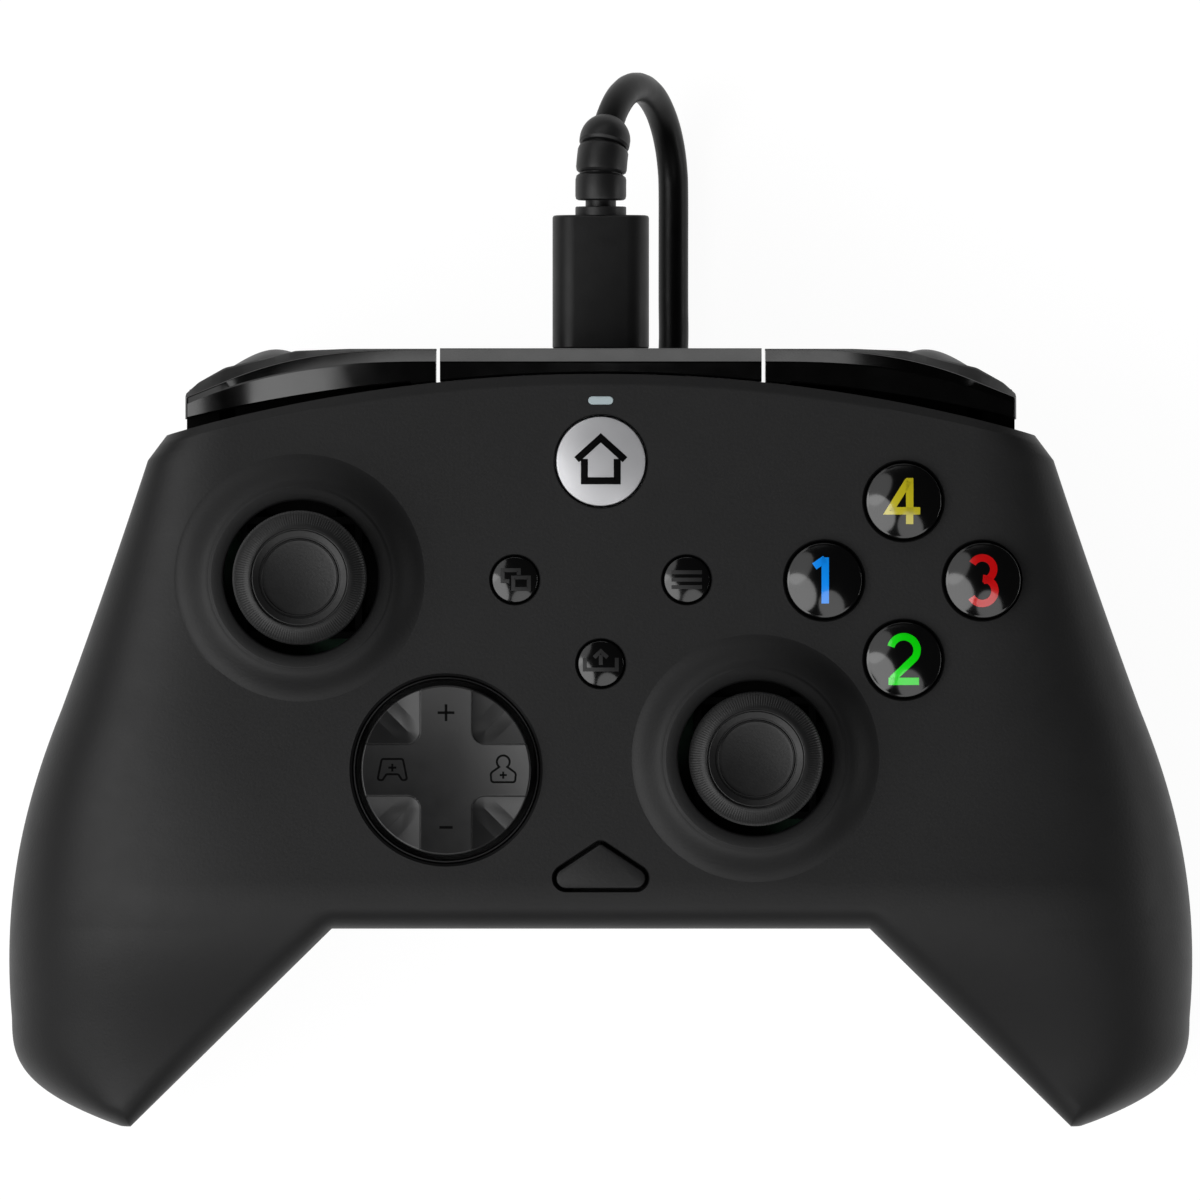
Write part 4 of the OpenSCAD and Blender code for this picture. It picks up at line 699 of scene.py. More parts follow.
def shell(name, height, seam_shift, bevel=0.0):
    """Closed shell of one wall thickness between two skins; bevel lowers the front edge."""
    points, faces, walks, base = [], [], [], 0
    for w in (0.0, WALL):
        grids = skin_grids(height, w)
        if w == 0:
            grids[0][0][..., 2] -= bevel * np.clip(1 - v_body / BEVEL_ROWS, 0, 1)[:, None]
        for grid, _ in grids:
            points.append(grid.reshape(-1, 3))
            faces.append(grid_faces(*grid.shape[:2], base=base))
            base += len(points[-1])
        walks.append(edge_walk(grids, seam_shift))
    strips = np.stack([walks[0][0], walks[0][1], walks[1][1], walks[1][0]])
    points.append(strips.reshape(-1, 3))
    faces.append(grid_faces(4, strips.shape[1], wrap_cols=True, base=base))
    return make_piece(name, np.concatenate(points), np.concatenate(faces), SHELL_SHARP)


face_shell = shell("face_shell", face_height, SEAM_SHIFT, BEVEL)
back_case = shell("back_case", belly_height, -SEAM_SHIFT)
for case in (face_shell, back_case):
    work = bmesh.new()
    work.from_mesh(case.data)
    print(case.name, len(work.faces), "open edges", sum(1 for e in work.edges if not e.is_manifold))
    work.free()
dress(back_case, "housing", "matte_black", shell_black, "back_shell")

# %% [markdown]
# ## Holes in the face
# Every hole is a cutter with a small flare at the top, so its rim catches the
# light. The cutters don't touch each other, so they are joined and taken out at once.

# %% Holes in the face
LEFT_STICK, RIGHT_STICK, DISC_AT = (-38.4, 20.9), (19.8, -2.2), (-19.8, -3.7)
BUTTON_AT = {"top": (38.75, 30.7), "left": (28.6, 20.55), "right": (48.9, 20.55), "bottom": (38.75, 10.4)}
HOME_AT, SMALL_AT = (0.0, 35.8), {"view": (-11.0, 20.65), "menu": (11.0, 20.65), "share": (0.0, 9.9)}
BUTTON_D, HOME_D, SMALL_D, DISC_WELL = 9.63, 11.4, 5.85, 24.1
FUNCTION_AT, FUNCTION_W, FUNCTION_H, KEY_R, ROOF = (0.0, -16.0), 11.4, 5.7, 1.28, math.radians(33.5)
LIGHT_AT, LIGHT_W, LIGHT_T = (0.0, 43.6), 3.3, 1.15
HOLE_LOW, HOLE_TOP, PORT_W, PORT_H = 44.0, 53.0, 9.6, 3.8


def hole(spot, r, flare):
    """Round cutter through the face, wider by flare at the top."""
    wide = r + flare
    profile = [(0, HOLE_LOW), (r, HOLE_LOW), (r, FACE_Z - flare), (wide, 50.02), (wide, HOLE_TOP),
               (0, HOLE_TOP)]
    return revolve("hole", profile, spot, 128)


def round_corners(corners, r, steps=8):
    """Outline with each corner replaced by an arc of radius r that touches both sides;
    r is one number, or one for each corner."""
    c = np.asarray(corners, float)
    r = np.broadcast_to(np.asarray(r, float), len(c))
    a, b = unit(np.roll(c, 1, 0) - c), unit(np.roll(c, -1, 0) - c)
    half = np.arccos(np.clip((a * b).sum(1), -1, 1)) / 2
    centre = c + unit(a + b) * (r / np.sin(half))[:, None]
    t = np.linspace(0, 1, steps)[None, :, None]
    arm_a = (c + a * (r / np.tan(half))[:, None] - centre)[:, None, :]
    arm_b = (c + b * (r / np.tan(half))[:, None] - centre)[:, None, :]
    turn = (np.pi - 2 * half)[:, None, None]
    way = (np.sin((1 - t) * turn) * arm_a + np.sin(t * turn) * arm_b) / np.sin(turn)
    return (centre[:, None, :] + way).reshape(-1, 2)


def key_outline(grow):
    """Low triangle of the function button, every side moved out by grow: a base corner
    moves grow / tan(a / 2) along the base, where a is the angle of the roof."""
    w = FUNCTION_W / 2 - KEY_R + (KEY_R + grow) / math.tan(ROOF / 2)
    low = -FUNCTION_H / 2 - grow
    corners = [(-w, low), (w, low), (0, low + w * math.tan(ROOF))]
    return round_corners(corners, (KEY_R + grow, KEY_R + grow, KEY_R / 2 + grow), 20) + FUNCTION_AT


def pill(w, t, steps=16):
    """Stadium outline w long and t wide."""
    a = np.linspace(-np.pi / 2, np.pi / 2, steps)
    right = np.stack([(w - t) / 2 + t / 2 * np.cos(a), t / 2 * np.sin(a)], -1)
    return np.concatenate([right, -right])


def prism(name, layers):
    """Upright solid through outlines, each given with its height."""
    rings = [np.column_stack([outline, np.full(len(outline), float(z))]) for outline, z in layers]
    return loft(name, rings)


def bar(name, outline, low, high):
    """Upright solid of one outline between two heights."""
    return prism(name, [(outline, low), (outline, high)])


def joined(pieces):
    """One object from several, in place."""
    bpy.ops.object.select_all(action="DESELECT")
    for piece in pieces:
        piece.select_set(True)
    bpy.context.view_layer.objects.active = pieces[0]
    bpy.ops.object.join()
    return pieces[0]


cutters = [hole(spot, 12.6, 0.01) for spot in (LEFT_STICK, RIGHT_STICK)]
cutters.append(hole(DISC_AT, DISC_WELL / 2, 0.35))
cutters += [hole(spot, BUTTON_D / 2 + 0.3, 0.2) for spot in BUTTON_AT.values()]
cutters.append(hole(HOME_AT, HOME_D / 2 + 0.25, 0.15))
cutters += [hole(spot, SMALL_D / 2 + 0.25, 0.15) for spot in SMALL_AT.values()]
key_low, key_high = key_outline(0.45), key_outline(0.6)
cutters.append(prism("hole", [(key_low, HOLE_LOW), (key_low, 49.8), (key_high, 50.02), (key_high, HOLE_TOP)]))
cutters.append(bar("hole", pill(LIGHT_W, LIGHT_T) + LIGHT_AT, HOLE_LOW, HOLE_TOP))
cut(face_shell, [joined(cutters)], SHELL_SHARP)
dress(face_shell, "housing", "matte_black", shell_black, "front_shell")
print("face shell faces", len(face_shell.data.polygons))

# %% [markdown]
# ## Stick collars and thumb caps
# Each stick stands in a mound: a sine rise from the face to a crisp lip, a flat
# ring and the bore. The cap is one profile turned round: a dome over the pivot, the
# stem, the underside, and a top with a dish, two fine grooves and an outer ring
# that falls away. Fine teeth ripple the outer ring.

# %% Collars and caps
def mound(name, spot):
    """Ring profile: foot, sine rise z = 1.9 sin(90 u^1.7), lip, flat ring and bore."""
    u = np.linspace(0, 1, 28)
    rise = np.stack([mix(16.2, 11.75, u), 49.96 + 1.9 * np.sin(np.pi / 2 * u ** 1.7)], -1)
    lip = [(11.66, 51.92), (11.55, 51.98), (11.42, 52.0), (10.2, 51.9), (10.0, 51.8), (9.9, 51.6)]
    foot = [(9.9, 48.2), (12.4, 48.2), (12.4, 49.4), (16.2, 49.4)]
    ring = revolve(name, np.concatenate([rise, lip, foot]), spot, 180, 40, ring=True)
    return dress(ring, "housing", "matte_black", shell_black)


PIVOT_Z, DOME_IN, DOME_OUT, TEETH, TOOTH, TOOTH_ROWS = 43.3, 7.715, 9.015, 150, 0.02, 8


def thumb_cap(side, spot):
    """Profile turned about the stick, the outer ring rippled by cos(TEETH a)."""
    a = np.radians(np.linspace(13, 38, 12))
    inner = np.stack([DOME_IN * np.sin(a), PIVOT_Z + DOME_IN * np.cos(a)], -1)
    a = np.radians(np.linspace(38, 17, 10))
    outer = np.stack([DOME_OUT * np.sin(a), PIVOT_Z + DOME_OUT * np.cos(a)], -1)
    under = [(2.6, 52.2), (2.6, 57.0), (2.9, 57.3), (7.3, 57.3), (7.8, 57.45), (8.3, 57.9), (8.55, 58.4),
             (8.58, 58.9)]
    ring = [(8.5, 59.2), (8.3, 59.45), (8.0, 59.68), (7.6, 59.9), (7.2, 60.1), (6.8, 60.28), (6.5, 60.36),
            (6.36, 60.36), (6.26, 60.28), (6.22, 60.02), (6.12, 59.98)]
    band = [(6.06, 60.06), (5.98, 60.08), (5.6, 59.94), (5.22, 59.8), (5.16, 59.62), (5.02, 59.58),
            (4.95, 59.72), (4.88, 59.78), (4.8, 59.74), (4.72, 59.62)]
    r = np.linspace(4.6, 0, 16)
    dish = np.stack([r, 59.2 + 0.4 * (r / 4.72) ** 2], -1)
    bore = [(0, 58.95), (1.66, 58.95), (1.66, PIVOT_Z + 7.5)]
    profile = np.concatenate([bore, inner, outer, under, ring, band, dish])
    ripple = np.zeros(len(profile))
    start = len(bore) + len(inner) + len(outer) + len(under) - 2
    ripple[start:start + TOOTH_ROWS] = TOOTH
    cap = revolve(side + "_cap", profile, spot, 3 * TEETH, 30, ripple=(ripple, TEETH))
    return dress(cap, side + "_thumb_cap_body", "matte_black", cap_rubber, side + "_thumb_cap")


for side, spot in (("left", LEFT_STICK), ("right", RIGHT_STICK)):
    mound(side + "_mound", spot)
    print(thumb_cap(side, spot).name, "ready")

# %% [markdown]
# ## Direction disc
# The disc is a height field on rings. The cross is a shallow dish, and each quarter
# falls away from the arms to a valley on the diagonal. The distance d outside the
# cross, with rounded inner corners, carries the fall.

# %% Direction disc
ARM_HALF, ARM_ROUND, VALLEY, DISC_R, HUB_IN = 3.25, 1.8, 2.4, 10.85, 4.2


def outside_cross(x, y):
    """Distance outside the cross: the lesser of p = |x| - a and q = |y| - a, with an
    arc of radius ARM_ROUND in the inner corners and a soft valley of width VALLEY
    where the two are alike; zero on the arms."""
    p, q = np.abs(x) - ARM_HALF, np.abs(y) - ARM_HALF
    corner = ARM_ROUND - np.hypot(ARM_ROUND - p, ARM_ROUND - q)
    d = np.where((p < ARM_ROUND) & (q < ARM_ROUND), corner, np.minimum(p, q))
    d = np.where((p > 0) & (q > 0), np.clip(d, 0, None), 0)
    part = np.clip(0.5 + 0.5 * (q - p) / VALLEY, 0, 1)
    return d - VALLEY * part * (1 - part) * ease(d / 2.5)


def disc_height(x, y):
    """Top of the disc: dish minus the fall of the quarters, the valley softened."""
    r = np.hypot(x, y)
    d = outside_cross(x, y)
    fall = 0.1 * ease(d / 0.12) + 0.42 * d - 0.03 * d ** 2
    return 50.7 + 1.3 * (r / DISC_R) ** 2 - fall


turn = np.linspace(0, 2 * np.pi, 720, endpoint=False)


def turned(r, z):
    """Circle of radius r at the heights z."""
    return np.stack([r * np.cos(turn), r * np.sin(turn), np.broadcast_to(z, turn.shape)], -1)


rings = np.concatenate([np.linspace(0.02, 10.3, 104), np.linspace(10.36, DISC_R - 0.2, 6)])
rr, aa = np.meshgrid(rings, turn)
xx, yy = rr * np.cos(aa), rr * np.sin(aa)
top = np.stack([xx, yy, disc_height(xx, yy)], -1)
rim_z = top[:, -1, 2]
side_rows = [(DISC_R - 0.08, rim_z - 0.04), (DISC_R, rim_z - 0.14), (DISC_R, 45.2), (13.1, 45.2),
             (13.1, 44.0), (HUB_IN, 44.0), (HUB_IN, 47.2)]
foot = np.stack([turned(r, z) for r, z in side_rows], 1)
sheet = np.concatenate([top, foot], 1) + np.array([*DISC_AT, 0])
rows, cols = sheet.shape[:2]
faces = grid_faces(rows, cols, wrap_rows=True).tolist()
faces += [(np.arange(rows) * cols).tolist(), (np.arange(rows) * cols + cols - 1).tolist()]
disc = make_piece("direction_pad", sheet.reshape(-1, 3), faces, 34)
dress(disc, "direction_disc_body", "dark_plastic", disc_satin, "direction_disc")
hub_wall = [(HUB_IN, 42.1), (5.6, 42.1), (5.6, 44.1), (HUB_IN, 44.1)]
hub = revolve("disc_hub", hub_wall, DISC_AT, 64, 40, ring=True)
cut(hub, [lay(rod("pin_hole", 0.66, -7, 7), (*DISC_AT, 43))])
dress(hub, "direction_disc_body", "dark_plastic", disc_satin)
well_rim = [(11.5, 46.8), (11.98, 46.8), (11.98, 48.9), (11.9, 49.35), (11.82, 49.5), (11.7, 49.5),
            (11.6, 49.35), (11.54, 49.0), (11.5, 48.4)]
well = revolve("disc_well", well_rim, DISC_AT, 180, 40, ring=True)
dress(well, "housing", "matte_black", shell_black)
print("disc faces", len(disc.data.polygons))

# %% [markdown]
# ## Signs
# A sign is a set of strokes. Each stroke is a path in plan, walked in short steps,
# with an edge on either side of it, and it is laid on the curved top of its piece.
# It stands a hair above the surface, as printed ink does.

# %% Signs
def walked(path, step=0.12):
    """The path with extra points on its straight stretches."""
    path = np.asarray(path, float)
    counts = [max(2, int(np.linalg.norm(leg) / step) + 1) for leg in np.diff(path, axis=0)]
    legs = [np.linspace(a, b, n)[:-1] for a, b, n in zip(path[:-1], path[1:], counts)]
    return np.concatenate(legs + [path[-1:]])


def sign(name, strokes, width, spot, surface, up, down):
    """Ribbons from down below to up above the surface, a height over the plan. Each
    side of a path is half the width along the mitre of its two legs, and a path that
    ends where it starts becomes a loop."""
    points, faces, base = [], [], 0
    for path in strokes:
        path = walked(path)
        leg = unit(np.diff(path, axis=0))
        loop = np.allclose(path[0], path[-1])
        if loop:
            path, before, after = path[:-1], np.roll(leg, 1, 0), leg
        else:
            before, after = np.concatenate([leg[:1], leg]), np.concatenate([leg, leg[-1:]])
        side = unit(np.stack([-(before + after)[:, 1], (before + after)[:, 0]], -1))
        square = np.stack([-before[:, 1], before[:, 0]], -1)
        reach = side * (width / 2 / (side * square).sum(1))[:, None]
        across = [(1, up), (0.5, up), (0, up), (-0.5, up), (-1, up), (-1, -down), (1, -down)]
        edges = [(path + part * reach, lift) for part, lift in across]
        rings = np.stack([np.column_stack([edge + spot, surface(*edge.T) + lift]) for edge, lift in edges], 1)
        n, cols = rings.shape[:2]
        points.append(rings.reshape(-1, 3))
        faces += grid_faces(n, cols, loop, True, base).tolist()
        if not loop:
            last = base + (n - 1) * cols
            faces += [list(range(base, base + cols))[::-1], list(range(last, last + cols))]
        base += n * cols
    return make_piece(name, np.concatenate(points), faces, 40)


def dome(top, crown, r):
    """Height of a shallow dome at the distance d from its middle: top - crown d^2 / r^2."""
    return lambda x, y: top - crown * (x ** 2 + y ** 2) / r ** 2


DIGITS = {
    1: [[(0.1, -2.95), (0.1, 2.95)], [(-1.3, 1.8), (0.1, 2.75)]],
    2: [np.concatenate([arc((0, 1.25), 1.7, 165, -38), [(-1.5, -2.5)]]), [(-1.95, -2.75), (1.95, -2.75)]],
    3: [arc((-0.1, 1.45), 1.45, 150, -85), arc((-0.1, -1.35), 1.6, 88, -150)],
    4: [[(0.75, -2.95), (0.75, 2.95)], [(0.6, 2.6), (-1.8, -1.25), (2.1, -1.25)]],
}
WINDOWS = [[(0.5, 0.62), (0.5, 1.22), (-1.57, 1.22), (-1.57, -0.2), (-0.7, -0.2)],
           [(-0.2, 0.28), (1.8, 0.28), (1.8, -1.2), (-0.2, -1.2), (-0.2, 0.28)]]
BARS = [[(-1.95, y), (1.95, y)] for y in (0.95, 0.0, -0.95)]
TRAY = [[(-2.05, 0.75), (-2.05, -0.75), (2.05, -0.75), (2.05, 0.75)], [(-0.85, 0.8), (0, 1.6), (0.85, 0.8)],
        [(0, 1.12), (0, -0.15)]]
HOUSE = [[(-3.1, 0.2), (0, 3.0), (3.1, 0.2)], [(-2.1, 0.3), (-2.1, -2.5), (2.1, -2.5), (2.1, 0.3)]]
print("digits", len(DIGITS))

# %% [markdown]
# ## Buttons
# Four glossy domes carry digits in the four colours of the photo. The silver home
# button has a plain house. The three small ones have matte signs that show against
# the gloss: two windows, three bars, and a tray with an arrow.

# %% Buttons
FLANGE_Z, FLANGE_TOP, INK_UP, INK_DOWN = 44.6, 44.6 + 1.2, 0.03, 0.2
FACE_DOME = (BUTTON_D, 52.4, 1.3)
HOME_DOME = (HOME_D, FACE_Z + 1.1, 0.7)
SMALL_DOME = (SMALL_D, FACE_Z + 0.8, 0.5)


def push_button(name, spot, d, top, crown):
    """Flange under the face, straight side, rounded rim and a shallow dome on top."""
    rim = 0.2
    r = np.linspace(d / 2 - rim, 0, 36)
    shoulder = top - crown * (1 - 2 * rim / d) ** 2
    u = np.radians(np.linspace(0, 60, 6))
    edge = np.stack([d / 2 - rim + rim * np.cos(u), shoulder - rim + rim * np.sin(u)], -1)
    cap = np.concatenate([edge, np.stack([r, top - crown * (2 * r / d) ** 2], -1)])
    foot = [(0, FLANGE_Z), (d / 2 + 1, FLANGE_Z), (d / 2 + 1, FLANGE_TOP), (d / 2, FLANGE_TOP)]
    return revolve(name, np.concatenate([foot, cap]), spot, 128, 50)


def ink(name, colour):
    """Glossy printed colour, a little uneven."""
    return finish(name, [0.92 * c for c in colour], colour, (0.18, 0.24), 0.6, 0.02, 400, coat=0.6)


def signed_button(names, node, spot, shape, slot, looks, strokes, width):
    """A push button and the sign printed on it; names and looks are of both."""
    d, top, crown = shape
    cap = push_button(names[0], spot, d, top, crown)
    dress(cap, node + "_body", slot, looks[0], node)
    mark = sign(names[1], strokes, width, spot, dome(top, crown, d / 2), INK_UP, INK_DOWN)
    dress(mark, node + "_body", slot, looks[1])


INKS = {"top": (4, ink("ink_yellow", (0.48, 0.41, 0.012))),
        "left": (1, ink("ink_blue", (0.003, 0.26, 0.9))),
        "right": (3, ink("ink_red", (0.52, 0.003, 0.004))),
        "bottom": (2, ink("ink_green", (0.003, 0.7, 0.003)))}
for side, (digit, colour) in INKS.items():
    signed_button(("button_" + side, f"digit_{digit}"), "face_button_" + side, BUTTON_AT[side], FACE_DOME,
                  "gloss_black", (button_gloss, colour), DIGITS[digit], 0.95)
signed_button(("home_cap", "home_house"), "home_button", HOME_AT, HOME_DOME,
              "satin_silver", (silver_satin, ink_and_shade_black), HOUSE, 0.9)
for side, strokes in (("view", WINDOWS), ("menu", BARS), ("share", TRAY)):
    signed_button((side + "_cap", side + "_sign"), side + "_button", SMALL_AT[side], SMALL_DOME,
                  "gloss_black", (button_gloss, sign_dark), strokes, 0.5)

key_rows = [(1.0, FLANGE_Z), (1.0, FLANGE_TOP), (0, FLANGE_TOP), (0, 50.2), (-0.1, 50.42), (-0.3, 50.5)]
key = prism("function_cap", [(key_outline(grow), z) for grow, z in key_rows])
dress(key, "function_button_body", "matte_black", shell_black, "function_button")
wide = pill(LIGHT_W - 0.1, LIGHT_T - 0.1) + LIGHT_AT
narrow = pill(LIGHT_W - 0.3, LIGHT_T - 0.3) + LIGHT_AT
window = prism("light_pill", [(wide, 47), (wide, 50.02), (narrow, 50.1)])
dress(window, "housing", "light_window", light_window, "status_light")

# %% [markdown]
# ## Bridge and bumpers
# The gloss front is one section swept from side to side: a flat band behind, a
# crease, a strip that leans forward to a fine rounded edge, and a front face. On
# the bumpers the crease swings back. Their top falls outwards, nearly flattens, and
# falls again on the end block, which a fold sets off.

# %% Bridge and bumpers
GLOSS_Y, GLOSS_TOP, BLADE_LOW, BRIDGE_LOW, BRIDGE_HALF = 50.3, 49.6, 40.3, 21.2, 20.6
BUMPER_IN, BUMPER_END, END_ROUND, CARRIER_LOW, CARRIER_TOP = 21.1, 53.3, 0.4, 38.3, 40.8
CREASE_Y, EDGE_Y, CURVE_X, STRIP_DROP, BAND_LEAN = 48.5, 50.16, 21.0, 0.95, 0.16
FLAT_X, FLAT_SPAN, BEND, BEND_X, FLAT_SLOPE = 41.5, 7.0, 0.0115, 23.5, 0.04
FOLD_X, HINGE_X, HINGE_Y, BAY_IN, PIN_HOLE, SWING = 48.75, 26.2, 40.5, 24.2, 1.06, math.radians(2)
OUTLINE = np.array([[21, 50.3], [32.3, 50.3], [39.2, 50.05], [48.3, 47.9], [51.7, 46], [53.4, 44.5]])


def crease_y(x):
    """Crease line: a power of the distance from the inner end."""
    return CREASE_Y - 5.35e-4 * (x - CURVE_X) ** 2.65


def edge_y(x):
    """Front edge of the leaning strip, straight on the end block."""
    curve = 3.45e-4 * (np.minimum(x, FOLD_X) - CURVE_X) ** 2.84
    return EDGE_Y - curve - 0.4 * np.clip(x - FOLD_X, 0, None)


def top_section(rear, crease, edge, top, low, drop, lean):
    """Rows of the polished top, from the rear foot over the crease to the front foot;
    each argument is an array along the sweep, and the rows are (y, z) pairs."""
    back, lip = top - lean, top - drop
    return [(rear, low), (rear, back - 0.34), (rear + 0.06, back - 0.14), (rear + 0.22, back),
            (crease - 0.1, top), (crease + 0.1, top - 0.05), (edge - 0.2, lip + 0.08),
            (edge - 0.06, lip - 0.01), (edge, lip - 0.12), (edge - 0.05, lip - 0.4), (edge - 0.05, low)]


def apron_section(edge, front, top, low, drop):
    """Rows of the front face, which leans out from the edge to the outline."""
    lip = top - drop
    return [(edge - 0.15, low), (edge - 0.15, lip - 0.3), (edge - 0.03, lip - 0.3), (edge + 0.06, lip - 0.45),
            (mix(edge, front, 0.85), top - 4.2), (front, top - 5.4), (front, low)]


def sweep_front(name, x, rows, sharp=9.0):
    """Closed solid through the rows of a section at each place x."""
    rings = np.stack([np.stack([x, *np.broadcast_arrays(y, z, x)[:2]], -1) for y, z in rows], 1)
    return loft(name, rings, sharp)


x = np.linspace(-BRIDGE_HALF, BRIDGE_HALF, 60)
flat = np.ones_like(x)
levels = [flat * level for level in (CREASE_Y, GLOSS_Y, GLOSS_TOP, BRIDGE_LOW, STRIP_DROP, BAND_LEAN)]
bridge = sweep_front("gloss_bridge", x, top_section(front_edge(x) + 0.1, *levels))
cut(bridge, [lay(bar("port", pill(PORT_W, PORT_H), 0, 9), (0, GLOSS_Y + 0.5, PORT_Z))], 9)
dress(bridge, "housing", "gloss_black", trim_gloss, "front_bridge")


def bumper(side, sign_x):
    """Blade with its fold, and under it the arm, the flange and the switch finger."""
    x = np.concatenate([np.linspace(BUMPER_IN, FOLD_X - 0.3, 90), FOLD_X + np.linspace(-0.2, 0.2, 5),
                        np.linspace(FOLD_X + 0.3, BUMPER_END - END_ROUND, 16),
                        BUMPER_END + np.linspace(-0.3, 0, 4)])
    rear = front_edge(x) + np.where(x < BAY_IN, 0.05, 0.45 + (x - HINGE_X) * math.tan(SWING))
    flatten = ease((x - FLAT_X) / FLAT_SPAN)
    slope = mix(BEND * np.clip(x - BEND_X, 0, None), FLAT_SLOPE, flatten)
    slope = np.where(x < FOLD_X, slope, 0.06 + 0.03 * (x - FOLD_X))
    lean = BAND_LEAN + 0.12 * ease((x - 29) / 9) * (1 - flatten)
    top = GLOSS_TOP - np.concatenate([[0], np.cumsum((slope[1:] + slope[:-1]) / 2 * np.diff(x))])
    end = ((x - BUMPER_END + END_ROUND) / END_ROUND).clip(0, 1)
    rounding = 0.6 * (1 - np.sqrt(np.clip(1 - end ** 2, 0, 1)))
    front = np.interp(x, *OUTLINE.T)
    drop = STRIP_DROP - 0.25 * ease((x - 30) / 18) - 0.45 * ease((x - FOLD_X) / 4 + 0.8)
    low = np.full_like(x, BLADE_LOW)
    rows = top_section(rear, crease_y(x), edge_y(x), top - rounding, low, drop, lean)
    blade = sweep_front(side + "_blade", x, rows)
    apron = sweep_front(side + "_apron", x, apron_section(edge_y(x), front, top - rounding, low, drop))
    flange_x = np.linspace(BAY_IN, BUMPER_END - 0.1, 24)
    back = np.stack([flange_x, front_edge(flange_x) - 2.2], -1)
    ahead = np.stack([flange_x, front_edge(flange_x) + 1.45 + (flange_x - HINGE_X) * math.tan(SWING)], -1)
    arm = [(HINGE_X - 2.6, HINGE_Y), (HINGE_X + 2.6, HINGE_Y), (HINGE_X + 2.6, 47.3), (HINGE_X - 2.2, 47.3)]
    finger = [(47, 36.6), (49, 36.6), (49, 44), (47, 44)]
    flange = np.concatenate([back, ahead[::-1]])
    lower = [bar("low", np.array(outline), CARRIER_LOW, CARRIER_TOP) for outline in (flange, arm, finger)]
    lug = [(PIN_HOLE, CARRIER_LOW), (2.6, CARRIER_LOW), (2.6, CARRIER_TOP), (PIN_HOLE, CARRIER_TOP)]
    lower.append(revolve("lug", lug, (HINGE_X, HINGE_Y), 48, ring=True))
    cut(lower[1], [rod("pin", PIN_HOLE, 37, 42, (HINGE_X, HINGE_Y), 48)])
    carrier = joined(lower)
    carrier.name = side + "_carrier"
    for piece in (blade, apron, carrier):
        if sign_x < 0:
            mirrored(piece)
    dress(blade, side + "_bumper_body", "gloss_black", trim_gloss, side + "_bumper")
    dress(apron, side + "_bumper_body", "gloss_black", shade_black)
    dress(carrier, side + "_bumper_body", "gloss_black", shade_black)


for side, sign_x in (("left", -1), ("right", 1)):
    bumper(side, sign_x)
print("bridge and bumpers ready")

# %% [markdown]
# ## Triggers
# A trigger is its side profile swept across: an arc down the front, a hook at the
# tip and a return up to the hub. Away from its crown the whole profile moves back
# on a smooth step, so that from above only a low bump shows past the bumper.

# %% Triggers
TRIGGER_ARC, TRIGGER_AT, TRIGGER_R, TRIGGER_T = (30.5, 25.0), (35.0, 31.0), 20.0, 3.6
TRIGGER_IN, TRIGGER_OUT, TRIGGER_MID, TRIGGER_CROWN, TRIGGER_SPAN = 26.8, 53.2, 42.0, 5.5, 13.0


def trigger(side, sign_x):
    """Points (y - c drop(x), z) of the profile at each x, where c is 1 on the blade
    and 0 on the hub, and drop is a smooth step of the distance from the crown."""
    front = arc(TRIGGER_ARC, TRIGGER_R, -46, 30, 40)
    rear = arc(TRIGGER_ARC, TRIGGER_R - TRIGGER_T, 8, -46, 26)
    hub = TRIGGER_AT + np.array([[6, 3.6], [1.5, 2.6], [2.2, 0], [3, -2.6]])
    tip = arc((rear[-1] + front[0]) / 2, TRIGGER_T / 2, 154, 294, 7)
    profile = np.concatenate([front, hub, rear, tip])
    moves = np.concatenate([np.ones(len(front)), np.zeros(len(hub)), np.ones(len(rear) + len(tip))])
    x = np.linspace(TRIGGER_IN, TRIGGER_OUT, 60)
    drop = TRIGGER_CROWN * ease(np.abs(x - TRIGGER_MID) / TRIGGER_SPAN)
    y = profile[:, 0] - drop[:, None] * moves
    rings = np.stack(np.broadcast_arrays(x[:, None], y, profile[:, 1]), -1)
    blade = loft(side + "_trigger_skin", rings, 40)
    pin = rod("pin", PIN_HOLE, 20, 60)
    pocket = rod("pocket", 2.5, 36.7, 43.3)
    boss = rod("boss", 2.6, TRIGGER_IN, TRIGGER_OUT, count=48)
    for piece in (pin, pocket, boss):
        lay(piece, (0, *TRIGGER_AT), "Y")
    cut(blade, [boss], 40, "UNION")
    cut(blade, [pin, pocket], 40)
    if sign_x < 0:
        mirrored(blade)
    return dress(blade, side + "_trigger_body", "gloss_black", trigger_satin, side + "_trigger")


for side, sign_x in (("left", -1), ("right", 1)):
    print(trigger(side, sign_x).name, "ready")

# %% [markdown]
# ## Openings and rest of the back
# The back is cut where things pass through it: a bay for each trigger, the cable
# port, the headset jack and the screw wells. A rest under the front, arched over
# the wound cable, lets the pad stand level.

# %% Openings and rest of the back
SCREWS = (((62.0, -33.0), 10.0, 22.0, 6.5), ((54.5, 3.0), 21.4, 27.0, 20.0))
JACK_Z, JACK_R, BAY_X, BAY_Y = 29.5, 3.1, (23.5, 53.7), (30.0, 60.0)
REST_HALF, REST_BACK, REST_FRONT, REST_LOW, REST_TOP = 20.0, 37.5, 45.6, 0.02, 21.2
ARCH_R, ARCH_Z = 13.5, -1.5


def rectangle(x0, x1, y0, y1):
    return np.array([(x0, y0), (x1, y0), (x1, y1), (x0, y1)], float)


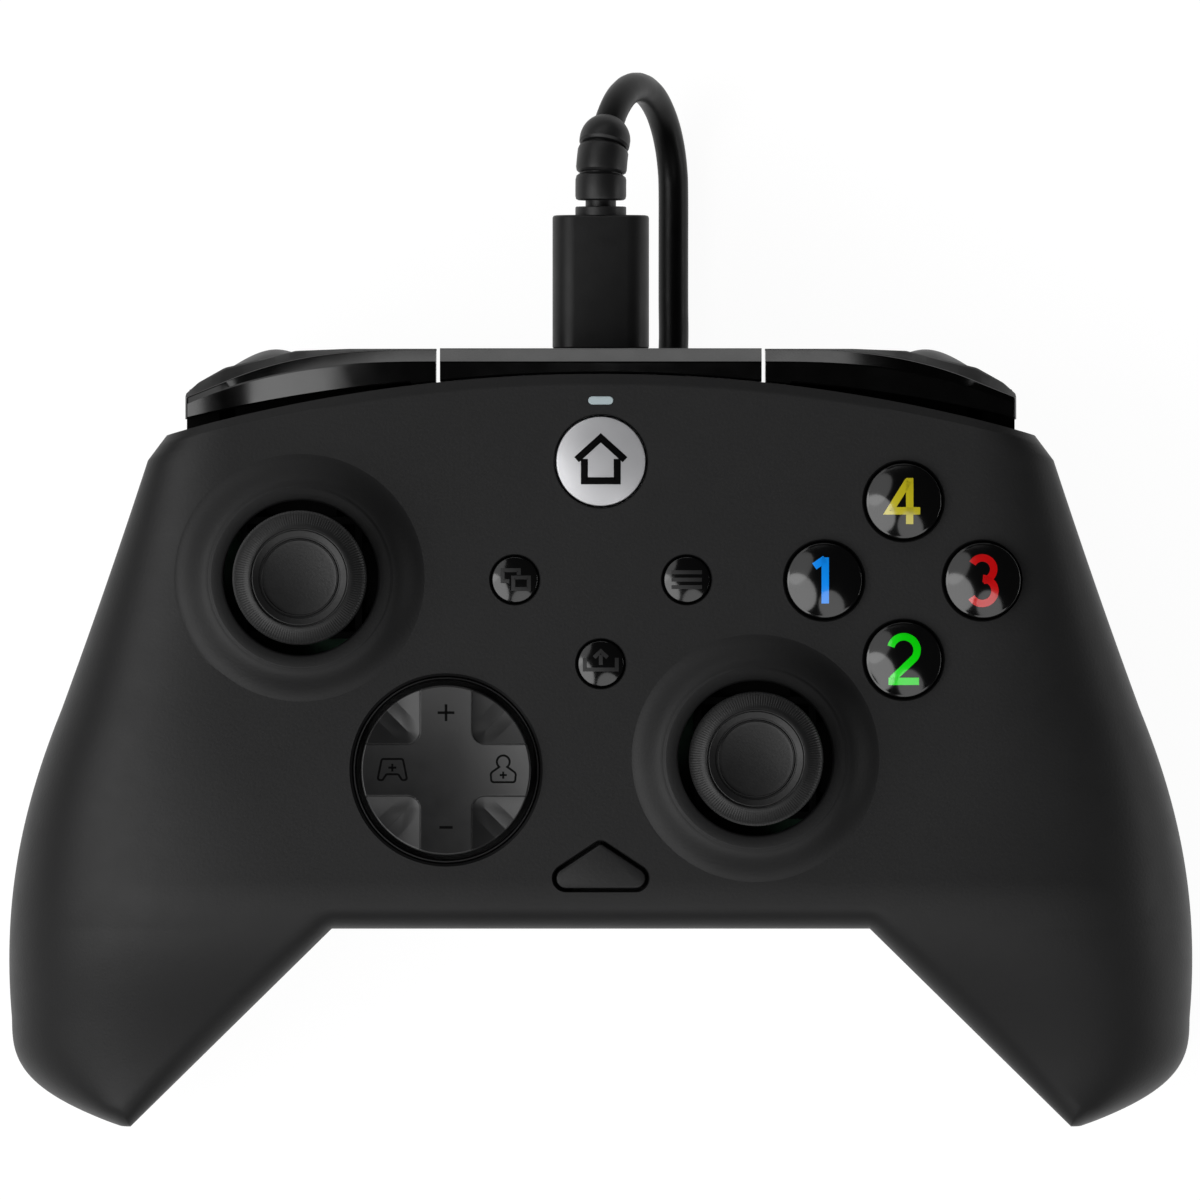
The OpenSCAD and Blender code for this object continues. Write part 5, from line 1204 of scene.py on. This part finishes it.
openings, posts = [], []
for sign_x in (-1, 1):
    bay = rectangle(*sorted(sign_x * x for x in BAY_X), *BAY_Y)
    openings.append(bar("bay", bay, -1, FACE_Z))
    for spot, seat, split, foot in SCREWS:
        spot = (sign_x * spot[0], spot[1])
        well = [(0, -1), (2.7, -1), (2.7, seat), (1.6, seat), (1.6, FACE_Z - 4), (0, FACE_Z - 4)]
        openings.append(revolve("screw_well", well, spot, 48))
        split = split - 0.2
        post = [(2.72, foot), (3.6, foot), (3.6, split), (1.62, split), (1.62, seat), (2.72, seat)]
        posts.append(revolve("post", post, spot, 48, ring=True))
port = lay(bar("port", pill(PORT_W, PORT_H), 0, 8), (0, 48, PORT_Z))
jack = lay(rod("jack", JACK_R, 0, 8, count=64), (0, REAR_Y + 6, JACK_Z))
cut(back_case, [joined(openings + [port, jack])], SHELL_SHARP)
post_set = joined(posts)
post_set.name = "screw_posts"
dress(post_set, "housing", "matte_black", shell_black)

outline = round_corners(rectangle(REST_BACK, REST_FRONT, REST_LOW, REST_TOP), 1.4)
ends = [np.column_stack([np.full(len(outline), x), outline]) for x in (-REST_HALF, REST_HALF)]
rest = loft("front_rest", ends)
cut(rest, [lay(rod("arch", ARCH_R, 20, 60, count=96), (0, 80, ARCH_Z))])
dress(rest, "housing", "matte_black", shell_black)
print("openings in the back", len(SCREWS) * 2 + 4)

# %% [markdown]
# ## Signs on the disc
# Four thin outlines lie on the arms: a plus, a minus, a small pad and a person.

# %% Signs on the disc
def plus(centre, size):
    """Two crossing strokes."""
    x, y = centre
    return [[(x - size / 2, y), (x + size / 2, y)], [(x, y - size / 2), (x, y + size / 2)]]


def pad_outline(x, y):
    """Closed outline of a small pad: flat top, waisted foot, rounded corners."""
    corners = [(-1.35, 1.35), (1.35, 1.35), (1.9, -1.35), (1.25, -1.35), (0.75, -0.6), (-0.75, -0.6),
               (-1.25, -1.35), (-1.9, -1.35)]
    ring = round_corners(corners, 0.28, 5) + (x, y)
    return np.concatenate([ring, ring[:1]])


def person_outline(x, y):
    """Closed outline of a person: a round head on a rounded body."""
    head = arc((0, 0.95), 0.82, -52, 232)
    body = np.concatenate([arc((-1.05, -0.75), 0.55, 120, 200, 8), arc((-1.2, -1.3), 0.35, 180, 270, 6),
                           arc((1.2, -1.3), 0.35, 270, 360, 6), arc((1.05, -0.75), 0.55, -20, 60, 8)])
    ring = np.concatenate([head, body]) + (x, y)
    return np.concatenate([ring, ring[:1]])


marks = [pad_outline(-6.87, 0.06), person_outline(7.32, 0.09)]
marks += plus((-6.87, 0.3), 1.0) + plus((7.32, -0.65), 0.9)
fine_signs = sign("disc_outlines", marks, 0.26, DISC_AT, disc_height, 0.02, 0.15)
bold_signs = sign("disc_plus_minus", plus((0, 7.33), 2.15) + [[(-0.85, -7.34), (0.85, -7.34)]], 0.34, DISC_AT,
                  disc_height, 0.02, 0.15)
for piece in (fine_signs, bold_signs):
    dress(piece, "direction_disc_body", "dark_plastic", ink_and_shade_black)
print("signs on the disc", len(marks) + 3)
